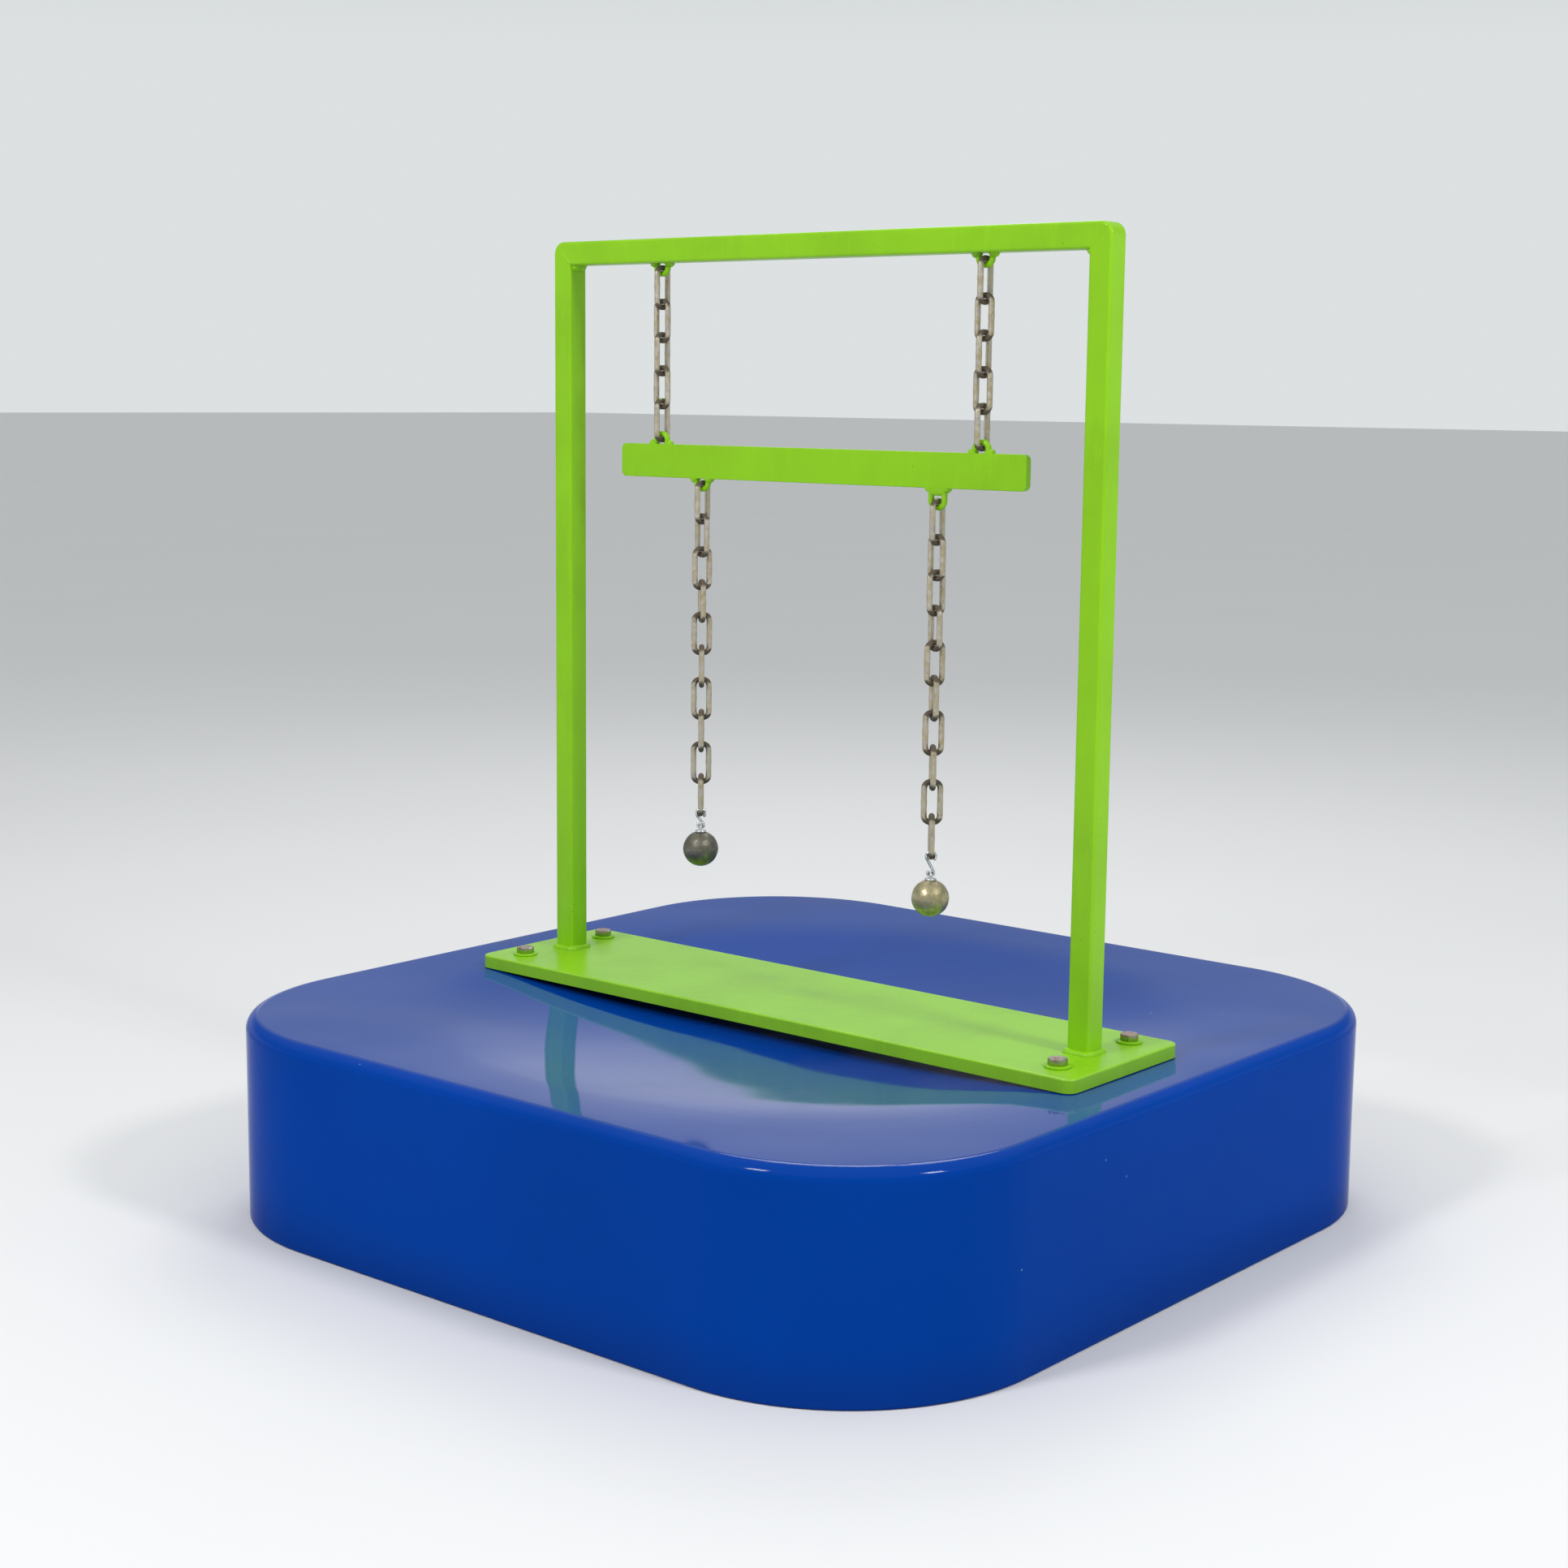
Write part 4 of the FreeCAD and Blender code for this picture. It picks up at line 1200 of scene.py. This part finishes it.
def lay_link(node, along, settings, seed, traces=False):
    """Makes one chain link: bent wire with a weld half way up one side, worn in its bows."""
    low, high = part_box(node)
    centre = (low + high) / 2
    radius = settings.wire / 2
    half_height = (high.z - low.z) / 2 - radius
    half_width = settings.width / 2
    path, flat = link_path(centre, along, half_width, half_height, settings.bend)
    generator = random.Random(seed)
    welded = generator.choice((-1, 1))
    offset = generator.uniform(-1.2, 1.2) * MM
    weld_length, bow_length = 2.1 * MM, 2.5 * MM
    radii = []
    for x, z in flat:
        weld = math.exp(-((z - offset) / weld_length) ** 2) if x * welded > half_width * 0.9 else 0
        bow = math.exp(-((abs(z) - half_height) / bow_length) ** 2)
        flattened = 0.035 * generator.random() + 0.03 * bow
        radii.append(radius * (1 - flattened + settings.weld_swell * weld))
    across = Vector((0, 0, 1)).cross(Vector(along))
    surface = bent_bar(path, across, np.array(radii), closed=True, sides=settings.sides)

    def grime(points):
        heights = np.abs(points[:, 2] - centre.z)
        return np.clip((heights - half_height + 7.5 * MM) / (7 * MM), 0, 1)

    def paint_trace(points):
        above = points[:, 2] - (high.z - 5 * MM)
        return np.clip(above / (5 * MM), 0, 1) * (0.62 if traces else 0.0)

    lay(node + "_wire", [surface], chain_zinc(), "galvanised_chain", node,
        marks={"grime": grime, "paint_trace": paint_trace}, sharp=70.0)


class TRAPEZE_OT_upper_chains(bpy.types.Operator):
    """Builds the two chains that carry the trapeze."""

    bl_idname = "trapeze.upper_chains"
    bl_label = "Upper chains"

    def execute(self, context):
        settings = context.scene.trapeze_chain
        for name, side in SIDES:
            for number in range(1, UPPER_LINKS + 1):
                along = (0, 1, 0) if number % 2 else (1, 0, 0)
                lay_link(f"upper_{name}_link_{number}", along, settings,
                         100 + 10 * side + number, traces=number in (1, UPPER_LINKS))
        return {"FINISHED"}


class TRAPEZE_OT_lower_chains(bpy.types.Operator):
    """Builds the two chains that hang below the trapeze."""

    bl_idname = "trapeze.lower_chains"
    bl_label = "Lower chains"

    def execute(self, context):
        settings = context.scene.trapeze_chain
        for name, side in SIDES:
            for number in range(1, LOWER_LINKS + 1):
                node = f"lower_{name}_link_{number}"
                lay_link(node, tuple(bow_direction(node)), settings,
                         200 + 20 * side + number, traces=number == 1)
        return {"FINISHED"}


def hook_path(top, span, along, upper, lower):
    """Middle line of an S-hook whose upper loop is centred on a point."""
    lean = math.degrees(math.asin((upper + lower) / span))
    flat = arc((0, 0), upper, 215, -lean, 30)
    bottom = arc((0, -span), lower, 180 - lean, 385, 26)
    start, end = flat[-1], bottom[0]
    flat += [(start[0] + (end[0] - start[0]) * share, start[1] + (end[1] - start[1]) * share)
             for share in (0.2, 0.4, 0.6, 0.8)]
    flat += bottom
    return [np.array(top) + np.array(along) * x + np.array((0, 0, z)) for x, z in flat]


class TRAPEZE_OT_hooks(bpy.types.Operator):
    """Builds the small S-hooks at the chains' ends."""

    bl_idname = "trapeze.hooks"
    bl_label = "Hooks"

    def execute(self, context):
        settings = context.scene.trapeze_hanger
        chain = context.scene.trapeze_chain
        wire = settings.hook_wire / 2
        upper = chain.wire / 2 + settings.clearance + wire
        lower = settings.bolt_wire / 2 + settings.clearance + wire
        for name, _ in SIDES:
            node = f"{name}_hook"
            low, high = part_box(node)
            last = f"lower_{name}_link_{LOWER_LINKS}"
            top = Vector((middle(last).x, middle(last).y, high.z - wire - upper))
            span = top.z - (low.z + wire + lower)
            bow = bow_direction(last)
            along = Vector((-bow.y, bow.x, 0))
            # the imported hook, just below its upper loop, tells to which side the loop opens
            band = [vertex.co for vertex in frame["nodes"][node].data.vertices
                    if 4.3 * MM < top.z - vertex.co.z < 6 * MM]
            if sum((point - top).dot(along) for point in band) < 0:
                along = -along
            path = hook_path(top, span, along, upper, lower)
            across = Vector((0, 0, 1)).cross(along)
            lay(f"{name}_s_hook", [bent_bar(path, across, wire, sides=16, rounded_ends=True)],
                bright_steel(), "bright_hook_steel", node, sharp=70.0)
        return {"FINISHED"}


def ball_surface(centre, radius, flat_height, seed):
    """Cast ball with a flat on top, a faint parting line and shallow dents."""
    steps = 72
    start = math.asin(min(1.0, flat_height / radius))
    rings = []
    for rise in np.linspace(-math.pi / 2 + 0.05, start, 50):
        ring = []
        for turn in np.linspace(0, math.tau, steps, endpoint=False):
            direction = Vector((math.cos(rise) * math.cos(turn), math.cos(rise) * math.sin(turn),
                                math.sin(rise)))
            dent = max(0.0, noise.noise(direction * 2.6 + Vector((seed, 0, 0)))) * 0.35 * MM
            parting = 0.16 * MM * math.exp(-(direction.z * radius / (0.5 * MM)) ** 2)
            ring.append(centre + direction * (radius - 0.18 * MM - dent + parting))
        rings.append(ring)
    return skin(rings)


def eye_bolt_surfaces(name, settings):
    """Eye bolt: bow, collar and threaded shank."""
    low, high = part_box(f"{name}_ball_eye")
    along = bow_direction(f"lower_{name}_link_{LOWER_LINKS}")
    centre = middle(f"{name}_ball")
    wire = settings.bolt_wire / 2
    bow = Vector((centre.x, centre.y, high.z - wire))
    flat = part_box(f"{name}_ball")[1].z
    path = staple_path(bow, along, settings.bolt_width / 2, 3 * MM, bow.z - flat - 1.5 * MM, -1)
    across = Vector((0, 0, 1)).cross(along)
    collar = settings.collar
    profile = [(collar - 0.4 * MM, flat), (collar, flat + 0.4 * MM), (collar, flat + 1.5 * MM),
               (collar - 0.5 * MM, flat + 2.0 * MM), (1.5 * MM, flat + 2.0 * MM)]
    collar_surface = turned(profile, centre.x, centre.y, 40)
    thread = [(1.5 * MM, low.z), (2.2 * MM, low.z + 0.5 * MM)]
    pitch = 0.8 * MM
    for height in np.arange(low.z + 1.0 * MM, flat - 0.3 * MM, pitch):
        thread += [(2.45 * MM, height), (2.05 * MM, height + pitch / 2)]
    thread += [(2.2 * MM, flat + 0.1 * MM)]
    shank = turned(thread, centre.x, centre.y, 32)
    return [bent_bar(path, across, wire, sides=16), collar_surface, shank]


class TRAPEZE_OT_balls(bpy.types.Operator):
    """Builds the two balls and their eye bolts."""

    bl_idname = "trapeze.balls"
    bl_label = "Balls"

    def execute(self, context):
        settings = context.scene.trapeze_hanger
        iron = ball_metal("cast_iron_skin", settings.iron, (0.11, 0.10, 0.078),
                          (0.36, 0.34, 0.28), 0.36)
        bronze = ball_metal("tarnished_bronze", settings.bronze, (0.31, 0.27, 0.15),
                            (0.66, 0.60, 0.40), 0.28)
        metals = {"left": (iron, "dark_ball_iron"), "right": (bronze, "bronze_ball_metal")}
        for name, side in SIDES:
            material, slot = metals[name]
            low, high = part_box(f"{name}_ball")
            radius = settings.ball_radius
            centre = Vector((middle(f"{name}_ball").x, middle(f"{name}_ball").y, low.z + radius))
            lay(f"{name}_cast_ball", [ball_surface(centre, radius, high.z - centre.z, side)],
                material, slot, f"{name}_ball", sharp=50.0)
            lay(f"{name}_eye_bolt", eye_bolt_surfaces(name, settings), bright_steel(),
                "bright_hook_steel", f"{name}_ball_eye", sharp=45.0)
        return {"FINISHED"}


# ---- studio -------------------------------------------------------------------------------------


LAMPS = (  # name, azimuth and elevation in degrees, distance and side in metres, watts
    ("front_box", -6, 44, 3.6, 0.5, 39),
    ("side_box", 86, 42, 3.6, 0.5, 40),
    ("back_box", 215, 50, 3.8, 1.6, 24),
)


def lamp(name, place, target, size, power):
    """A square soft box that faces a point."""
    data = bpy.data.lights.new(name, "AREA")
    data.shape = "RECTANGLE"
    data.size, data.size_y = size, size
    data.energy = power
    light = bpy.data.objects.new(name, data)
    light.location = place
    light.rotation_mode = "QUATERNION"
    light.rotation_quaternion = (Vector(target) - Vector(place)).to_track_quat("-Z", "Y")
    bpy.context.scene.collection.objects.link(light)


def around(turn, rise, distance=1.0):
    """A point round the object, for the lamps and the camera alike; angles in radians."""
    return Vector((math.sin(turn) * math.cos(rise), -math.cos(turn) * math.cos(rise),
                   math.sin(rise))) * distance


class TRAPEZE_OT_studio(bpy.types.Operator):
    """Lays the floor and sets the lamps and the camera."""

    bl_idname = "trapeze.studio"
    bl_label = "Studio"

    def execute(self, context):
        settings = context.scene.trapeze_studio
        reach = 60.0
        mesh = bpy.data.meshes.new("studio_floor")
        corners = [(-reach, -reach, 0), (reach, -reach, 0), (reach, reach, 0), (-reach, reach, 0)]
        mesh.from_pydata(corners, [], [(0, 1, 2, 3)])
        mesh.materials.append(pale_floor())
        floor = bpy.data.objects.new("studio_floor", mesh)
        floor.location.z = -0.2 * MM  # clear of the block's foot
        context.scene.collection.objects.link(floor)

        aim = (0.0, 0.0, 0.45)
        for name, azimuth, elevation, distance, size, power in LAMPS:
            place = around(math.radians(azimuth), math.radians(elevation), distance)
            lamp(name, place, aim, size, power)

        world = bpy.data.worlds.new("studio_sky")
        context.scene.world = world
        world.use_nodes = True
        nodes = Nodes(world.node_tree)
        direction = nodes.add("ShaderNodeTexCoord", output="Generated")
        height = nodes.height_along(direction, "Z")
        sky = nodes.blend(rgba(settings.horizon), rgba(settings.sky), nodes.ease(height, 0.11, 0.31))
        sky = nodes.blend(sky, rgba(settings.overhead), nodes.ease(height, 0.38, 0.75))
        background = nodes.add("ShaderNodeBackground", {}, {"Color": sky, "Strength": 1.0})
        nodes.add("ShaderNodeOutputWorld", {}, {"Surface": background})

        turn, rise, roll = settings.azimuth, settings.elevation, settings.roll
        back = around(turn, rise)
        level = Vector((math.cos(turn), math.sin(turn), 0.0))
        right = level * math.cos(roll) + back.cross(level) * math.sin(roll)
        up = back.cross(right)
        data = bpy.data.cameras.new("studio_camera")
        data.lens = settings.lens
        data.sensor_width = 36.0
        data.clip_start, data.clip_end = 0.05, 200.0
        camera = bpy.data.objects.new("studio_camera", data)
        place = Vector(settings.target) + back * settings.distance
        turned_matrix = Matrix((right, up, back)).transposed().to_4x4()
        camera.matrix_world = Matrix.Translation(place) @ turned_matrix
        context.scene.collection.objects.link(camera)
        context.scene.camera = camera
        context.scene.view_settings.view_transform = "Standard"
        return {"FINISHED"}


# ---- add-on -------------------------------------------------------------------------------------


OPERATORS = (
    TRAPEZE_OT_block, TRAPEZE_OT_inside, TRAPEZE_OT_plate, TRAPEZE_OT_bolts, TRAPEZE_OT_frame,
    TRAPEZE_OT_welds, TRAPEZE_OT_top_eyes, TRAPEZE_OT_bar, TRAPEZE_OT_bar_eyes,
    TRAPEZE_OT_upper_chains, TRAPEZE_OT_lower_chains, TRAPEZE_OT_hooks, TRAPEZE_OT_balls,
    TRAPEZE_OT_studio,
)

SETTINGS = {
    "trapeze_block": BlockSettings, "trapeze_paint": PaintSettings, "trapeze_chain": ChainSettings,
    "trapeze_hanger": HangerSettings, "trapeze_studio": StudioSettings,
}


class TRAPEZE_PT_panel(bpy.types.Panel):
    """The steps, in order."""

    bl_label = "Chain trapeze"
    bl_idname = "TRAPEZE_PT_panel"
    bl_space_type = "VIEW_3D"
    bl_region_type = "UI"
    bl_category = "Trapeze"

    def draw(self, context):
        for operator in OPERATORS:
            self.layout.operator(operator.bl_idname)


def register():
    for name, settings in SETTINGS.items():
        bpy.utils.register_class(settings)
        setattr(bpy.types.Scene, name, PointerProperty(type=settings))
    for operator in OPERATORS:
        bpy.utils.register_class(operator)
    bpy.utils.register_class(TRAPEZE_PT_panel)


def unregister():
    bpy.utils.unregister_class(TRAPEZE_PT_panel)
    for operator in reversed(OPERATORS):
        bpy.utils.unregister_class(operator)
    for name, settings in reversed(SETTINGS.items()):
        delattr(bpy.types.Scene, name)
        bpy.utils.unregister_class(settings)


def main():
    register()
    for operator in OPERATORS:
        group, name = operator.bl_idname.split(".")
        getattr(getattr(bpy.ops, group), name)()


if __name__ == "__main__":
    main()
